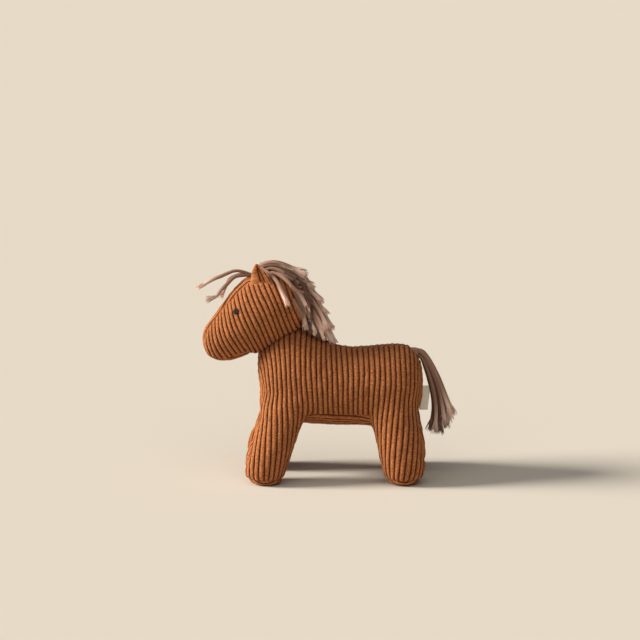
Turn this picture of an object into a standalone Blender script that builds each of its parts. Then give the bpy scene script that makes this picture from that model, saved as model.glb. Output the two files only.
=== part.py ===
"""Plush horse, sewn from ribbed fabric panels over loose filling.

The horse stands on the floor at Z = 0 and faces -X, so its left side is -Y.
Lengths are in metres. Tables named shares hold fractions of the sizes that they follow.
"""

import math

import bmesh
import bpy
from mathutils import Matrix, Vector
from mathutils.bvhtree import BVHTree

# Sewing
FABRIC = 0.0022
GAP = 0.0003
FILLING_GAP = 0.0006

# Body and neck
BODY_LENGTH = 0.1485
BODY_DEPTH = 0.073
BODY_WIDTH = 0.076
NECK_RISE = 0.024
BELLY_SEAM_RISE = 0.014

# Legs
LEG_LENGTH = 0.048
LEG_THICKNESS = 0.042
LEG_WIDTH = 0.039
FRONT_LEAN = 0.0237
HIND_LEAN = 0.013
HIP_SPREAD = 0.018
FOOT_SPREAD = 0.030
SOLE_RISE = 0.0048
FLAT_CUT = 0.0005

# Head
HEAD_LENGTH = 0.0953
HEAD_HEIGHT = 0.088
HEAD_WIDTH = 0.063
GUSSET_WIDTH = 0.026
NOSE_GUSSET_WIDTH = 0.014

# Ears and eyes
EAR_WIDTH = 0.0165
EAR_HEIGHT = 0.0185
EAR_THICKNESS = 0.003
EAR_CUP = 0.0035
EYE_DIAMETER = 0.0054
EYE_THICKNESS = 0.0014

# Yarn
YARN = 0.004
LOCK_RADIUS = 0.0026
MANE_LOCKS = 7
MANE_LENGTH = 0.048
MANE_LIFT = 0.008
MANE_SWEEP = math.radians(57)
RIDGE_LENGTH = 0.042
RIDGE_RISE = 0.015
TAPE_WIDTH = 0.006
TAPE_THICKNESS = 0.0012
FORELOCK_LENGTH = 0.045
FORELOCK_SPACING = 0.0055
TAIL_LENGTH = 0.075
TAIL_SPREAD = 0.0044
TAIL_LOCK_RADIUS = 0.0027
TAIL_ROOT_RADIUS = 0.005
TAIL_ROOT_SINK = 0.0005

# Label
LABEL_REACH = 0.0056
LABEL_HEIGHT = 0.022
LABEL_THICKNESS = 0.0008
LABEL_DROP = 0.0125

# Cage rings and their subdivision
RING_POINTS = 12
LEG_POINTS = 8
LEVELS = 1

# Stations of the body: along, top, bottom, neck, width
body_shares = (
    (-1.000, 0.92, 0.42, 0.00, 0.30),
    (-0.950, 1.00, -0.56, 0.12, 0.64),
    (-0.778, 1.00, -0.84, 0.80, 0.89),
    (-0.562, 1.00, -0.94, 1.02, 0.96),
    (-0.320, 1.00, -0.99, 0.50, 1.00),
    (-0.024, 0.91, -1.01, 0.00, 1.00),
    (0.300, 0.96, -1.01, 0.00, 1.00),
    (0.623, 1.03, -0.98, 0.00, 1.00),
    (0.830, 1.04, -0.89, 0.00, 0.93),
    (0.955, 0.77, -0.74, 0.00, 0.70),
    (1.000, 0.40, -0.32, 0.00, 0.34),
)
neck_pinch_share = 0.16

# Stations of the head, from the nose back: along, top, bottom, width
head_shares = (
    (-1.000, -0.43, -0.68, 0.28),
    (-0.915, -0.22, -0.90, 0.55),
    (-0.731, 0.01, -1.00, 0.69),
    (-0.511, 0.37, -1.01, 0.82),
    (-0.249, 0.71, -0.94, 0.94),
    (0.087, 0.93, -0.85, 1.01),
    (0.444, 0.99, -0.62, 0.99),
    (0.759, 0.84, -0.42, 0.87),
    (0.940, 0.57, -0.20, 0.56),
    (1.000, 0.34, 0.00, 0.30),
)
neck_seat_share = -0.68
head_forward_share = 0.27
head_lift_share = 0.057

# Rings of a leg, from the floor up: height, lean, thickness, width, spread
front_leg_shares = (
    (0.000, 0.90, 0.60, 0.66, 1.00),
    (0.050, 1.00, 0.79, 0.84, 1.00),
    (0.145, 1.00, 0.92, 0.95, 1.00),
    (0.330, 0.86, 1.00, 0.98, 0.92),
    (0.545, 0.58, 1.00, 0.98, 0.67),
    (0.780, 0.19, 1.07, 0.98, 0.33),
    (1.000, 0.00, 1.03, 0.84, 0.00),
)
hind_leg_shares = (
    (0.000, 0.94, 0.60, 0.66, 1.00),
    (0.050, 0.96, 0.79, 0.84, 1.00),
    (0.145, 1.00, 0.94, 0.95, 1.00),
    (0.330, 0.87, 1.04, 1.00, 0.92),
    (0.545, 0.65, 1.08, 1.02, 0.67),
    (0.780, 0.27, 1.17, 1.03, 0.33),
    (1.000, 0.00, 1.12, 0.88, 0.00),
)
front_hip_share = -0.590
hind_hip_share = 0.595

# Head gusset outline from nose to poll: along, and how far it has widened
gusset_shares = ((-1.15, 0.0), (-0.72, 0.1), (-0.40, 0.9), (-0.10, 1.0))

# Ear and eye places
ear_along_shares = (-0.08, 0.25)
ear_height_share = 0.69
ear_outline_shares = ((-0.20, 0.96), (0.0, 1.0), (0.35, 0.96), (0.68, 0.70), (0.90, 0.36), (1.0, 0.12))
ear_lean_share = 0.14
ear_tilt_share = 0.18
eye_along_share = -0.365
eye_height_share = 0.145

# Crest: angles about the head's centre, then places along the neck
crest_start = math.radians(94)
crest_end = math.radians(-8)
CREST_STEPS = 11
neck_crest_shares = (-0.30, -0.22, -0.14)
mane_length_shares = (0.82, 1.00, 1.00, 1.00, 0.92, 0.74, 0.45)
mane_arch_share = 0.6
mane_first_share = 0.09
mane_last_share = 0.88
# Ridge locks: place of the root along the crest, length, and rise of the tip
ridge_shares = (
    (0.04, 0.50, 0.10),
    (0.26, 0.58, 0.42),
    (0.43, 1.00, 0.80),
    (0.70, 0.60, 0.25),
)
TUBE_POINTS = 9

# Forelock strands: forward and rise at points along each, and its place to the side
forelock_shares = (
    (-0.4, (
        (0.0, 0.0),
        (0.13, 0.055),
        (0.27, 0.06),
        (0.40, 0.02),
        (0.54, -0.04),
        (0.70, -0.105),
        (0.92, -0.22),
    )),
    (-1.5, (
        (0.05, -0.04),
        (0.20, 0.0),
        (0.31, -0.08),
        (0.43, -0.22),
        (0.53, -0.35),
        (0.63, -0.46),
        (0.72, -0.49),
    )),
    (0.8, (
        (0.05, -0.02),
        (0.20, 0.03),
        (0.31, -0.05),
        (0.40, -0.16),
        (0.46, -0.26),
        (0.50, -0.33),
    )),
)
forelock_root = math.radians(103)

# Middle line of the hanging tail: back and drop
tail_line_shares = (
    (0.107, 0.033),
    (0.173, 0.140),
    (0.240, 0.280),
    (0.284, 0.453),
    (0.307, 0.640),
    (0.313, 0.827),
    (0.307, 0.960),
)
# Tail locks: places off that line outward and sideways, length, and elevation and azimuth at the root
tail_lock_shares = (
    ("outer_left", 1.0, -1.0, 0.74, 16, -30),
    ("outer_right", 1.0, 1.0, 0.80, 16, 30),
    ("middle", 0.0, 0.0, 1.00, -14, 0),
    ("inner_left", -0.7, -1.1, 0.82, -30, -42),
    ("inner_right", -0.7, 1.1, 0.76, -30, 42),
)
tail_fan_share = 1.4
tail_root_direction = Vector((0.78, 0.0, 0.62))
tail_along_share = 0.86
tail_height_share = 0.66

# Sizes that follow
BODY_MIDDLE = LEG_LENGTH + BODY_DEPTH / 2
NECK_TOP = BODY_MIDDLE + BODY_DEPTH / 2 + NECK_RISE
HEAD_CENTRE = Vector((
    neck_seat_share * BODY_LENGTH / 2 - head_forward_share * HEAD_LENGTH,
    0.0,
    NECK_TOP + head_lift_share * HEAD_HEIGHT,
))
REACH = BODY_LENGTH + HEAD_LENGTH + HEAD_HEIGHT + NECK_RISE + BODY_DEPTH + LEG_LENGTH
BELLY_SEAM = LEG_LENGTH + BELLY_SEAM_RISE

# Cloth and yarn colours, linear
CARAMEL = (0.28, 0.115, 0.042, 1.0)
INNER_CARAMEL = (0.20, 0.08, 0.03, 1.0)
TAUPE = (0.33, 0.22, 0.16, 1.0)
FILLING_WHITE = (0.80, 0.78, 0.74, 1.0)
EYE_BLACK = (0.012, 0.009, 0.008, 1.0)
LABEL_WHITE = (0.75, 0.72, 0.66, 1.0)


def empty_scene():
    """Remove whatever the file holds."""
    for item in list(bpy.data.objects):
        bpy.data.objects.remove(item)


def make_collection(name):
    collection = bpy.data.collections.new(name)
    bpy.context.scene.collection.children.link(collection)
    return collection


def make_material(name, colour, roughness):
    material = bpy.data.materials.new(name)
    material.use_nodes = True
    shader = material.node_tree.nodes["Principled BSDF"]
    shader.inputs["Base Color"].default_value = colour
    shader.inputs["Roughness"].default_value = roughness
    shader.inputs["Metallic"].default_value = 0.0
    return material


empty_scene()
PARTS = make_collection("plush_horse")
CUTTERS = make_collection("cutters")
ORIGIN = bpy.data.objects.new("plush_horse_origin", None)
PARTS.objects.link(ORIGIN)
COVER = make_material("ribbed_cover", CARAMEL, 0.9)
SOLE = make_material("sole_cloth", INNER_CARAMEL, 0.9)
MANE_YARN = make_material("cotton_yarn", TAUPE, 0.85)
FILLING = make_material("filling", FILLING_WHITE, 0.95)
EYE_THREAD = make_material("eye_thread", EYE_BLACK, 0.45)
WOVEN_LABEL = make_material("woven_label", LABEL_WHITE, 0.7)


def add_part(name, data, material, parent=ORIGIN):
    """Link a visible piece, drawn smooth, under its parent."""
    part = bpy.data.objects.new(name, data)
    PARTS.objects.link(part)
    part.data.materials.clear()
    part.data.materials.append(material)
    part.parent = parent
    part.matrix_parent_inverse = Matrix.Translation(-parent.location)
    return part


def add_cutter(name, mesh):
    cutter = bpy.data.objects.new(name, mesh)
    CUTTERS.objects.link(cutter)
    cutter.hide_render = True
    cutter.display_type = "WIRE"
    cutter.parent = ORIGIN
    return cutter


def add_pivot(name, place):
    """Empty on a joint's axis, which carries the pieces that turn about it."""
    pivot = bpy.data.objects.new(name, None)
    PARTS.objects.link(pivot)
    pivot.parent = ORIGIN
    pivot.location = place
    return pivot


def loft(name, rings):
    """Closed cage through rings with the same number of points."""
    shape = bmesh.new()
    loops = [[shape.verts.new(point) for point in ring] for ring in rings]
    count = len(rings[0])
    for lower, upper in zip(loops, loops[1:]):
        for k in range(count):
            after = (k + 1) % count
            shape.faces.new((lower[k], lower[after], upper[after], upper[k]))
    shape.faces.new(loops[0])
    shape.faces.new(loops[-1])
    bmesh.ops.recalc_face_normals(shape, faces=shape.faces)
    mesh = bpy.data.meshes.new(name)
    shape.to_mesh(mesh)
    shape.free()
    mesh.shade_smooth()
    return mesh


def ring_draw(points):
    """How much smaller one level of subdivision makes a ring."""
    return (6 + 2 * math.cos(math.tau / points)) / 8


def push_out(piece, offset):
    push = piece.modifiers.new("offset", "DISPLACE")
    push.strength = offset
    push.mid_level = 0.0
    return piece


def swell(piece):
    """Subdivide a cage into a smooth form."""
    smooth = piece.modifiers.new("swell", "SUBSURF")
    smooth.levels = LEVELS
    smooth.render_levels = LEVELS
    piece.modifiers.new("flat faces", "TRIANGULATE")
    return piece


def cut(piece, cutter, operation="DIFFERENCE"):
    boolean = piece.modifiers.new(cutter.name, "BOOLEAN")
    boolean.operation = operation
    boolean.object = cutter
    boolean.solver = "EXACT"


def box_cutter(name, low, high):
    """Box between two corners."""
    low, high = Vector(low), Vector(high)
    size = high - low
    place = Matrix.Translation((low + high) / 2) @ Matrix.Diagonal((*size, 1.0))
    shape = bmesh.new()
    bmesh.ops.create_cube(shape, size=1.0, matrix=place)
    mesh = bpy.data.meshes.new(name)
    shape.to_mesh(mesh)
    shape.free()
    return add_cutter(name, mesh)


def prism_cutter(name, outline, height):
    """Upright prism over an outline of X and Y, from the floor to a height."""
    shape = bmesh.new()
    base = shape.faces.new([shape.verts.new((x, y, 0.0)) for x, y in outline])
    raised = bmesh.ops.extrude_face_region(shape, geom=[base])["geom"]
    corners = [item for item in raised if isinstance(item, bmesh.types.BMVert)]
    bmesh.ops.translate(shape, verts=corners, vec=(0.0, 0.0, height))
    bmesh.ops.recalc_face_normals(shape, faces=shape.faces)
    mesh = bpy.data.meshes.new(name)
    shape.to_mesh(mesh)
    shape.free()
    return add_cutter(name, mesh)


def ball_cutter(name, centre, radius):
    shape = bmesh.new()
    place = Matrix.Translation(centre)
    bmesh.ops.create_uvsphere(shape, u_segments=12, v_segments=8, radius=radius, matrix=place)
    mesh = bpy.data.meshes.new(name)
    shape.to_mesh(mesh)
    shape.free()
    return add_cutter(name, mesh)


def lining(name, piece, depth):
    """Coarse form that lies a depth inside the smooth form of a piece."""
    tree = surface_of(piece)
    mesh = piece.data.copy()
    mesh.name = name
    for vertex in mesh.vertices:
        place, normal, _, _ = tree.find_nearest(vertex.co)
        vertex.co = place - normal * depth
    return mesh


def flatten(piece):
    piece.modifiers.new("flat faces", "TRIANGULATE")
    return piece


def upright_ring(x, bottom, top, half_width, pinch=0.0):
    """Ring across the length, drawn in at the sides above its middle by the pinch."""
    middle = (top + bottom) / 2
    half_height = (top - bottom) / 2 / ring_draw(RING_POINTS)
    ring = []
    for k in range(RING_POINTS):
        angle = math.tau * k / RING_POINTS
        up = math.cos(angle)
        side = math.sin(angle) * (1 - pinch * max(up, 0.0)) / ring_draw(RING_POINTS)
        ring.append(Vector((x, half_width * side, middle + half_height * up)))
    return ring


def level_ring(centre, half_length, half_width):
    """Ring around a leg, level with the floor."""
    ring = []
    for k in range(LEG_POINTS):
        angle = math.tau * k / LEG_POINTS
        along = half_length * math.cos(angle) / ring_draw(LEG_POINTS)
        across = half_width * math.sin(angle) / ring_draw(LEG_POINTS)
        ring.append(centre + Vector((along, across, 0.0)))
    return ring


def body_rings():
    rings = []
    for along, top, bottom, neck, width in body_shares:
        upper = BODY_MIDDLE + top * BODY_DEPTH / 2 + neck * NECK_RISE
        lower = BODY_MIDDLE + bottom * BODY_DEPTH / 2
        pinch = neck_pinch_share * neck
        rings.append(upright_ring(along * BODY_LENGTH / 2, lower, upper, width * BODY_WIDTH / 2, pinch))
    return rings


def head_rings():
    rings = []
    for along, top, bottom, width in head_shares:
        x = HEAD_CENTRE.x + along * HEAD_LENGTH / 2
        upper = HEAD_CENTRE.z + top * HEAD_HEIGHT / 2
        lower = HEAD_CENTRE.z + bottom * HEAD_HEIGHT / 2
        rings.append(upright_ring(x, lower, upper, width * HEAD_WIDTH / 2))
    return rings


def leg_rings(rows, hip_x, lean, side):
    rings = []
    for height, lean_share, thickness, width, spread in rows:
        y = HIP_SPREAD + spread * (FOOT_SPREAD - HIP_SPREAD)
        z = height * (BODY_MIDDLE + FLAT_CUT) - FLAT_CUT
        centre = Vector((hip_x + lean * lean_share, side * y, z))
        rings.append(level_ring(centre, thickness * LEG_THICKNESS / 2, width * LEG_WIDTH / 2))
    return rings


def surface_of(piece):
    """Search tree of a piece as its modifiers leave it."""
    return BVHTree.FromObject(piece, bpy.context.evaluated_depsgraph_get())


def hit_toward(tree, outside, target):
    """Where a line from a point outside first meets a surface, and the normal there."""
    place, normal, _, _ = tree.ray_cast(outside, target - outside)
    return place, normal


def settle(point, clearance, trees):
    """Push a point out until it is clear of every surface."""
    for _ in range(4):
        for tree in trees:
            place, normal, _, _ = tree.find_nearest(point)
            if (point - place).dot(normal) < clearance:
                point = place + normal * clearance
    return point


def seat(path, radius, trees):
    """Bring the root of a tube down until its end meets the nearest surface, less the gap."""
    place, normal, _, _ = min((tree.find_nearest(path[0]) for tree in trees), key=lambda hit: hit[3])
    slope = (path[1] - path[0]).normalized().dot(normal)
    path[0] = place + normal * (GAP + radius * math.sqrt(1 - slope**2))


def relax(path, clearance, trees):
    """Draw a path taut over the surfaces, with both ends held."""
    for _ in range(12):
        middles = [(path[k - 1] + path[k] * 2 + path[k + 1]) / 4 for k in range(1, len(path) - 1)]
        path = [path[0], *(settle(point, clearance, trees) for point in middles), path[-1]]
    return path


def smooth_path(points, count):
    """Evenly spaced points on a smooth curve through the given ones."""
    ends = [points[0] * 2 - points[1], *points, points[-1] * 2 - points[-2]]
    fine = []
    for before, start, end, after in zip(ends, ends[1:], ends[2:], ends[3:]):
        for step in range(8):
            t = step / 8
            turn = (end - before) * t + (before * 2 - start * 5 + end * 4 - after) * t**2
            fine.append(start + (turn + (start * 3 - before - end * 3 + after) * t**3) / 2)
    fine.append(points[-1])
    lengths = [0.0]
    for start, end in zip(fine, fine[1:]):
        lengths.append(lengths[-1] + (end - start).length)
    even = []
    for k in range(count):
        want = lengths[-1] * k / (count - 1)
        after = next((i for i in range(1, len(fine)) if lengths[i] >= want), len(fine) - 1)
        run = lengths[after] - lengths[after - 1]
        even.append(fine[after - 1].lerp(fine[after], (want - lengths[after - 1]) / run))
    return even


def yarn_tube(name, path, radius, root_share, tip_share, parent=ORIGIN):
    """Tapered tube along a path: thin at the root, full in the middle, drawn in at the tip."""
    curve = bpy.data.curves.new(name, "CURVE")
    curve.dimensions = "3D"
    curve.bevel_depth = radius
    curve.bevel_resolution = 1
    curve.use_fill_caps = True
    spline = curve.splines.new("POLY")
    spline.points.add(len(path) - 1)
    last = len(path) - 1
    for k, place in enumerate(path):
        spline.points[k].co = (*place, 1.0)
        from_root = root_share + (1 - root_share) * min(1.0, 3 * k / last)
        to_tip = tip_share + (1 - tip_share) * min(1.0, 3 * (last - k) / last)
        spline.points[k].radius = min(from_root, to_tip)
    return add_part(name, curve, MANE_YARN, parent)


def make_body():
    """Two side panels and the belly gusset around the filling, with a pocket for the tail's root."""
    cage = BODY_SURFACE.data
    inside = flatten(add_cutter("body_inside", lining("body_inside", BODY_SURFACE, FABRIC)))
    far = REACH
    above = box_cutter("above_belly_seam", (-far, -far, BELLY_SEAM - GAP / 2), (far, far, far))
    below = box_cutter("below_belly_seam", (-far, -far, -far), (far, far, BELLY_SEAM + GAP / 2))
    halves = {
        "body_side_left": box_cutter("right_half", (-far, -GAP / 2, -far), (far, far, far)),
        "body_side_right": box_cutter("left_half", (-far, -far, -far), (far, GAP / 2, far)),
    }
    pocket = ball_cutter("tail_pocket", TAIL_PIVOT, TAIL_ROOT_RADIUS + GAP)
    for name, other_half in halves.items():
        panel = swell(add_part(name, cage.copy(), COVER))
        for cutter in (inside, other_half, below, pocket):
            cut(panel, cutter)
    gusset = swell(add_part("belly_gusset", cage.copy(), COVER))
    cut(gusset, inside)
    cut(gusset, above)
    core = lining("body_filling", BODY_SURFACE, FABRIC + FILLING_GAP)
    cut(flatten(add_part("body_filling", core, FILLING)), pocket)


def make_leg(name, rows, hip_x, lean, side, floor):
    """Leg cover, domed sole and filling, all cut by the body."""
    cage = loft(name + "_cage", leg_rings(rows, hip_x, lean, side))
    surface = swell(add_cutter(name + "_surface", cage))
    inside = flatten(add_cutter(name + "_inside", lining(name + "_inside", surface, FABRIC)))
    far = REACH
    above = box_cutter(name + "_above_sole", (-far, -far, SOLE_RISE - GAP / 2), (far, far, far))
    below = box_cutter(name + "_below_cover", (-far, -far, -far), (far, far, SOLE_RISE + GAP / 2))
    cover = swell(add_part(name + "_cover", cage.copy(), COVER))
    for cutter in (inside, BODY_CLEARANCE, below):
        cut(cover, cutter)
    sole = swell(add_part(name + "_sole", cage.copy(), SOLE))
    for cutter in (inside, above, floor):
        cut(sole, cutter)
    core = lining(name + "_filling", surface, FABRIC + FILLING_GAP)
    cut(flatten(add_part(name + "_filling", core, FILLING)), BODY_CLEARANCE)


def make_legs():
    floor = box_cutter("floor", (-REACH, -REACH, -REACH), (REACH, REACH, 0.0))
    front_x = front_hip_share * BODY_LENGTH / 2
    hind_x = hind_hip_share * BODY_LENGTH / 2
    for word, side in (("left", -1), ("right", 1)):
        make_leg("leg_front_" + word, front_leg_shares, front_x, -FRONT_LEAN, side, floor)
        make_leg("leg_hind_" + word, hind_leg_shares, hind_x, HIND_LEAN, side, floor)


def gusset_outline(widening):
    """Plan of the head gusset, from the poll round the nose, grown by the widening."""
    side = []
    for along, wide in gusset_shares:
        half = (NOSE_GUSSET_WIDTH + wide * (GUSSET_WIDTH - NOSE_GUSSET_WIDTH)) / 2 + widening
        side.append((HEAD_CENTRE.x + along * HEAD_LENGTH / 2, half))
    side[-1] = (side[-1][0] + widening, side[-1][1])
    return side + [(x, -y) for x, y in reversed(side)]


def make_head():
    """Two head sides and the gusset between them, around the filling."""
    cage = HEAD_SURFACE.data
    inside = flatten(add_cutter("head_inside", lining("head_inside", HEAD_SURFACE, FABRIC)))
    far = REACH
    halves = {
        "head_side_left": box_cutter("head_right_half", (-far, -GAP / 2, -far), (far, far, far)),
        "head_side_right": box_cutter("head_left_half", (-far, -far, -far), (far, GAP / 2, far)),
    }
    strip = prism_cutter("head_strip", gusset_outline(-GAP / 2), far)
    wide_strip = prism_cutter("head_strip_clearance", gusset_outline(GAP / 2), far)
    for name, other_half in halves.items():
        panel = swell(add_part(name, cage.copy(), COVER))
        for cutter in (inside, BODY_CLEARANCE, wide_strip, other_half):
            cut(panel, cutter)
    gusset = swell(add_part("head_gusset", cage.copy(), COVER))
    cut(gusset, inside)
    cut(gusset, BODY_CLEARANCE)
    cut(gusset, strip, "INTERSECT")
    core = lining("head_filling", HEAD_SURFACE, FABRIC + FILLING_GAP)
    cut(flatten(add_part("head_filling", core, FILLING)), BODY_CLEARANCE)


def make_ear(word, side):
    """Cupped flap that stands on the head, hinged along the outer edge of its base."""
    z = HEAD_CENTRE.z + ear_height_share * HEAD_HEIGHT / 2
    seats = []
    for along in ear_along_shares:
        x = HEAD_CENTRE.x + along * HEAD_LENGTH / 2
        seats.append(hit_toward(HEAD_TREE, Vector((x, side * HEAD_WIDTH, z)), Vector((x, 0.0, z)))[0])
    front, back = seats
    across = (back - front).normalized()
    outward = across.cross(Vector((0.0, 0.0, -side))).normalized()
    upward = (Vector((0.0, 0.0, 1.0)) + outward * ear_tilt_share).normalized()
    middle = (front + back) / 2 - outward * EAR_THICKNESS / 2
    shape = bmesh.new()
    grid = []
    for rise, width in ear_outline_shares:
        row = []
        for k in range(5):
            place = k / 2 - 1
            cup = EAR_CUP * width * min(max(rise, 0.0) * 3, 1.0) * (place**2 - 1 / 2)
            lean = -ear_lean_share * EAR_WIDTH * max(rise, 0.0)
            point = middle + across * (place * width * EAR_WIDTH / 2 + lean)
            row.append(shape.verts.new(point + upward * rise * EAR_HEIGHT + outward * cup))
        grid.append(row)
    for lower, upper in zip(grid, grid[1:]):
        for k in range(4):
            shape.faces.new((lower[k], lower[k + 1], upper[k + 1], upper[k]))
    mesh = bpy.data.meshes.new("ear_" + word)
    shape.to_mesh(mesh)
    shape.free()
    mesh.shade_smooth()
    hinge = (front + back) / 2 + (upward * GAP)
    pivot = add_pivot("ear_%s_hinge" % word, hinge)
    ear = add_part("ear_" + word, mesh, COVER, pivot)
    thick = ear.modifiers.new("two layers of cloth", "SOLIDIFY")
    thick.thickness = EAR_THICKNESS
    thick.offset = 0.0
    swell(ear)
    cut(ear, HEAD_CLEARANCE)
    print("ear", word, "hinge at", tuple(hinge), "axis", tuple(across * -side))


def make_eye(word, side):
    """Small domed disc of thread on the cheek."""
    x = HEAD_CENTRE.x + eye_along_share * HEAD_LENGTH / 2
    z = HEAD_CENTRE.z + eye_height_share * HEAD_HEIGHT / 2
    place, normal = hit_toward(HEAD_TREE, Vector((x, side * HEAD_WIDTH, z)), Vector((x, 0.0, z)))
    shape = bmesh.new()
    lift = Matrix.Translation((0.0, 0.0, EYE_THICKNESS / 2 + GAP))
    turn = normal.to_track_quat("Z", "Y").to_matrix().to_4x4()
    bmesh.ops.create_cone(
        shape,
        cap_ends=True,
        segments=16,
        radius1=EYE_DIAMETER / 2,
        radius2=EYE_DIAMETER / 3,
        depth=EYE_THICKNESS,
        matrix=Matrix.Translation(place) @ turn @ lift,
    )
    mesh = bpy.data.meshes.new("eye_" + word)
    shape.to_mesh(mesh)
    shape.free()
    eye = add_part("eye_" + word, mesh, EYE_THREAD)
    cut(eye, HEAD_CLEARANCE)


def crest_path():
    """Line of the mane's root, from the poll over the back of the head and down the neck."""
    points = []
    for k in range(CREST_STEPS):
        angle = crest_start + (crest_end - crest_start) * k / (CREST_STEPS - 1)
        outward = Vector((math.cos(angle), 0.0, math.sin(angle)))
        points.append(hit_toward(HEAD_TREE, HEAD_CENTRE + outward * HEAD_LENGTH, HEAD_CENTRE)[0])
    for along in neck_crest_shares:
        x = along * BODY_LENGTH / 2
        over = Vector((x, 0.0, NECK_TOP + BODY_DEPTH))
        points.append(hit_toward(BODY_TREE, over, Vector((x, 0.0, BODY_MIDDLE)))[0])
    return smooth_path(points, 4 * len(points))


def make_tape(crest):
    """Flat tape under the mane, laid along the crest."""
    rings = []
    half_width = Vector((0.0, TAPE_WIDTH / 2, 0.0))
    for k in range(0, len(crest), 3):
        middle = settle(crest[k], 2 * GAP + TAPE_THICKNESS / 2, (HEAD_TREE, BODY_TREE))
        ahead = crest[min(k + 1, len(crest) - 1)] - crest[max(k - 1, 0)]
        rise = Vector((-ahead.z, 0.0, ahead.x)).normalized() * TAPE_THICKNESS / 2
        rings.append([
            middle + half_width + rise,
            middle - half_width + rise,
            middle - half_width - rise,
            middle + half_width - rise,
        ])
    add_part("mane_tape", loft("mane_tape", rings), MANE_YARN)


def on_crest(crest, share):
    """Point on the crest at a share of its length, and the direction that points away from the horse."""
    place = min(max(share, 0.0), 1.0) * (len(crest) - 1)
    before = min(int(place), len(crest) - 2)
    ahead = (crest[before + 1] - crest[before]).normalized()
    point = crest[before].lerp(crest[before + 1], place - before)
    beyond = max(share - 1.0, 0.0) * (len(crest) - 1) * (crest[-1] - crest[-2]).length
    return point + ahead * beyond, Vector((-ahead.z, 0.0, ahead.x))


def make_mane(crest):
    """Yarn locks on both sides of the tape, swept back and down over the head and neck."""
    crest_length = sum((end - start).length for start, end in zip(crest, crest[1:]))
    girth = HEAD_WIDTH / 2
    root = TAPE_WIDTH / 2 + LOCK_RADIUS + GAP
    for word, side in (("left", -1), ("right", 1)):
        for number in range(MANE_LOCKS):
            first = mane_first_share
            start = first + (mane_last_share - first) * number / max(MANE_LOCKS - 1, 1)
            row = min(number, len(mane_length_shares) - 1)
            length = MANE_LENGTH * mane_length_shares[row]
            path = []
            for k in range(TUBE_POINTS):
                run = length * k / (TUBE_POINTS - 1)
                base, outward = on_crest(crest, start + run * math.sin(MANE_SWEEP) / crest_length)
                turn = (root + run * math.cos(MANE_SWEEP)) / girth
                across = Vector((0.0, side * girth * math.sin(turn), 0.0))
                point = base + across - outward * girth * (1 - math.cos(turn))
                lift = MANE_LIFT * math.sin(math.pi * (run / length) ** mane_arch_share)
                path.append(settle(point, LOCK_RADIUS + GAP + lift, (HEAD_TREE, BODY_TREE)))
            path = relax(path, LOCK_RADIUS + GAP, (HEAD_TREE, BODY_TREE))
            seat(path, LOCK_RADIUS, (HEAD_TREE, BODY_TREE))
            yarn_tube("mane_lock_%s_%d" % (word, number + 1), path, LOCK_RADIUS, 1.0, 0.6)


def make_ridge(crest):
    """Yarn locks along the middle of the mane, each lying on the root of the next."""
    crest_length = sum((end - start).length for start, end in zip(crest, crest[1:]))
    root = TAPE_THICKNESS + 3 * GAP + LOCK_RADIUS
    for number, (start, length, rise) in enumerate(ridge_shares):
        path = []
        for k in range(TUBE_POINTS):
            share = k / (TUBE_POINTS - 1)
            base, outward = on_crest(crest, start + RIDGE_LENGTH * length * share / crest_length)
            path.append(base + outward * (root + RIDGE_RISE * rise * share))
        path = relax(path, root, (HEAD_TREE, BODY_TREE))
        yarn_tube("mane_ridge_lock_%d" % (number + 1), path, LOCK_RADIUS, 1.0, 0.6)


def make_forelock():
    """Three loose strands from the poll, out over the forehead."""
    outward = Vector((math.cos(forelock_root), 0.0, math.sin(forelock_root)))
    for number, (side, rows) in enumerate(forelock_shares):
        across = Vector((0.0, side * FORELOCK_SPACING, 0.0))
        aim = HEAD_CENTRE + across
        root, normal = hit_toward(HEAD_TREE, aim + outward * HEAD_LENGTH, aim)
        root += normal * (YARN / 2 + GAP)
        points = [root + Vector((-forward, 0.0, rise)) * FORELOCK_LENGTH for forward, rise in rows]
        path = [settle(point, YARN / 2 + GAP, (HEAD_TREE,)) for point in smooth_path(points, TUBE_POINTS)]
        seat(path, YARN / 2, (HEAD_TREE,))
        yarn_tube("forelock_strand_%d" % (number + 1), path, YARN / 2, 1.0, 0.6)


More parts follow.
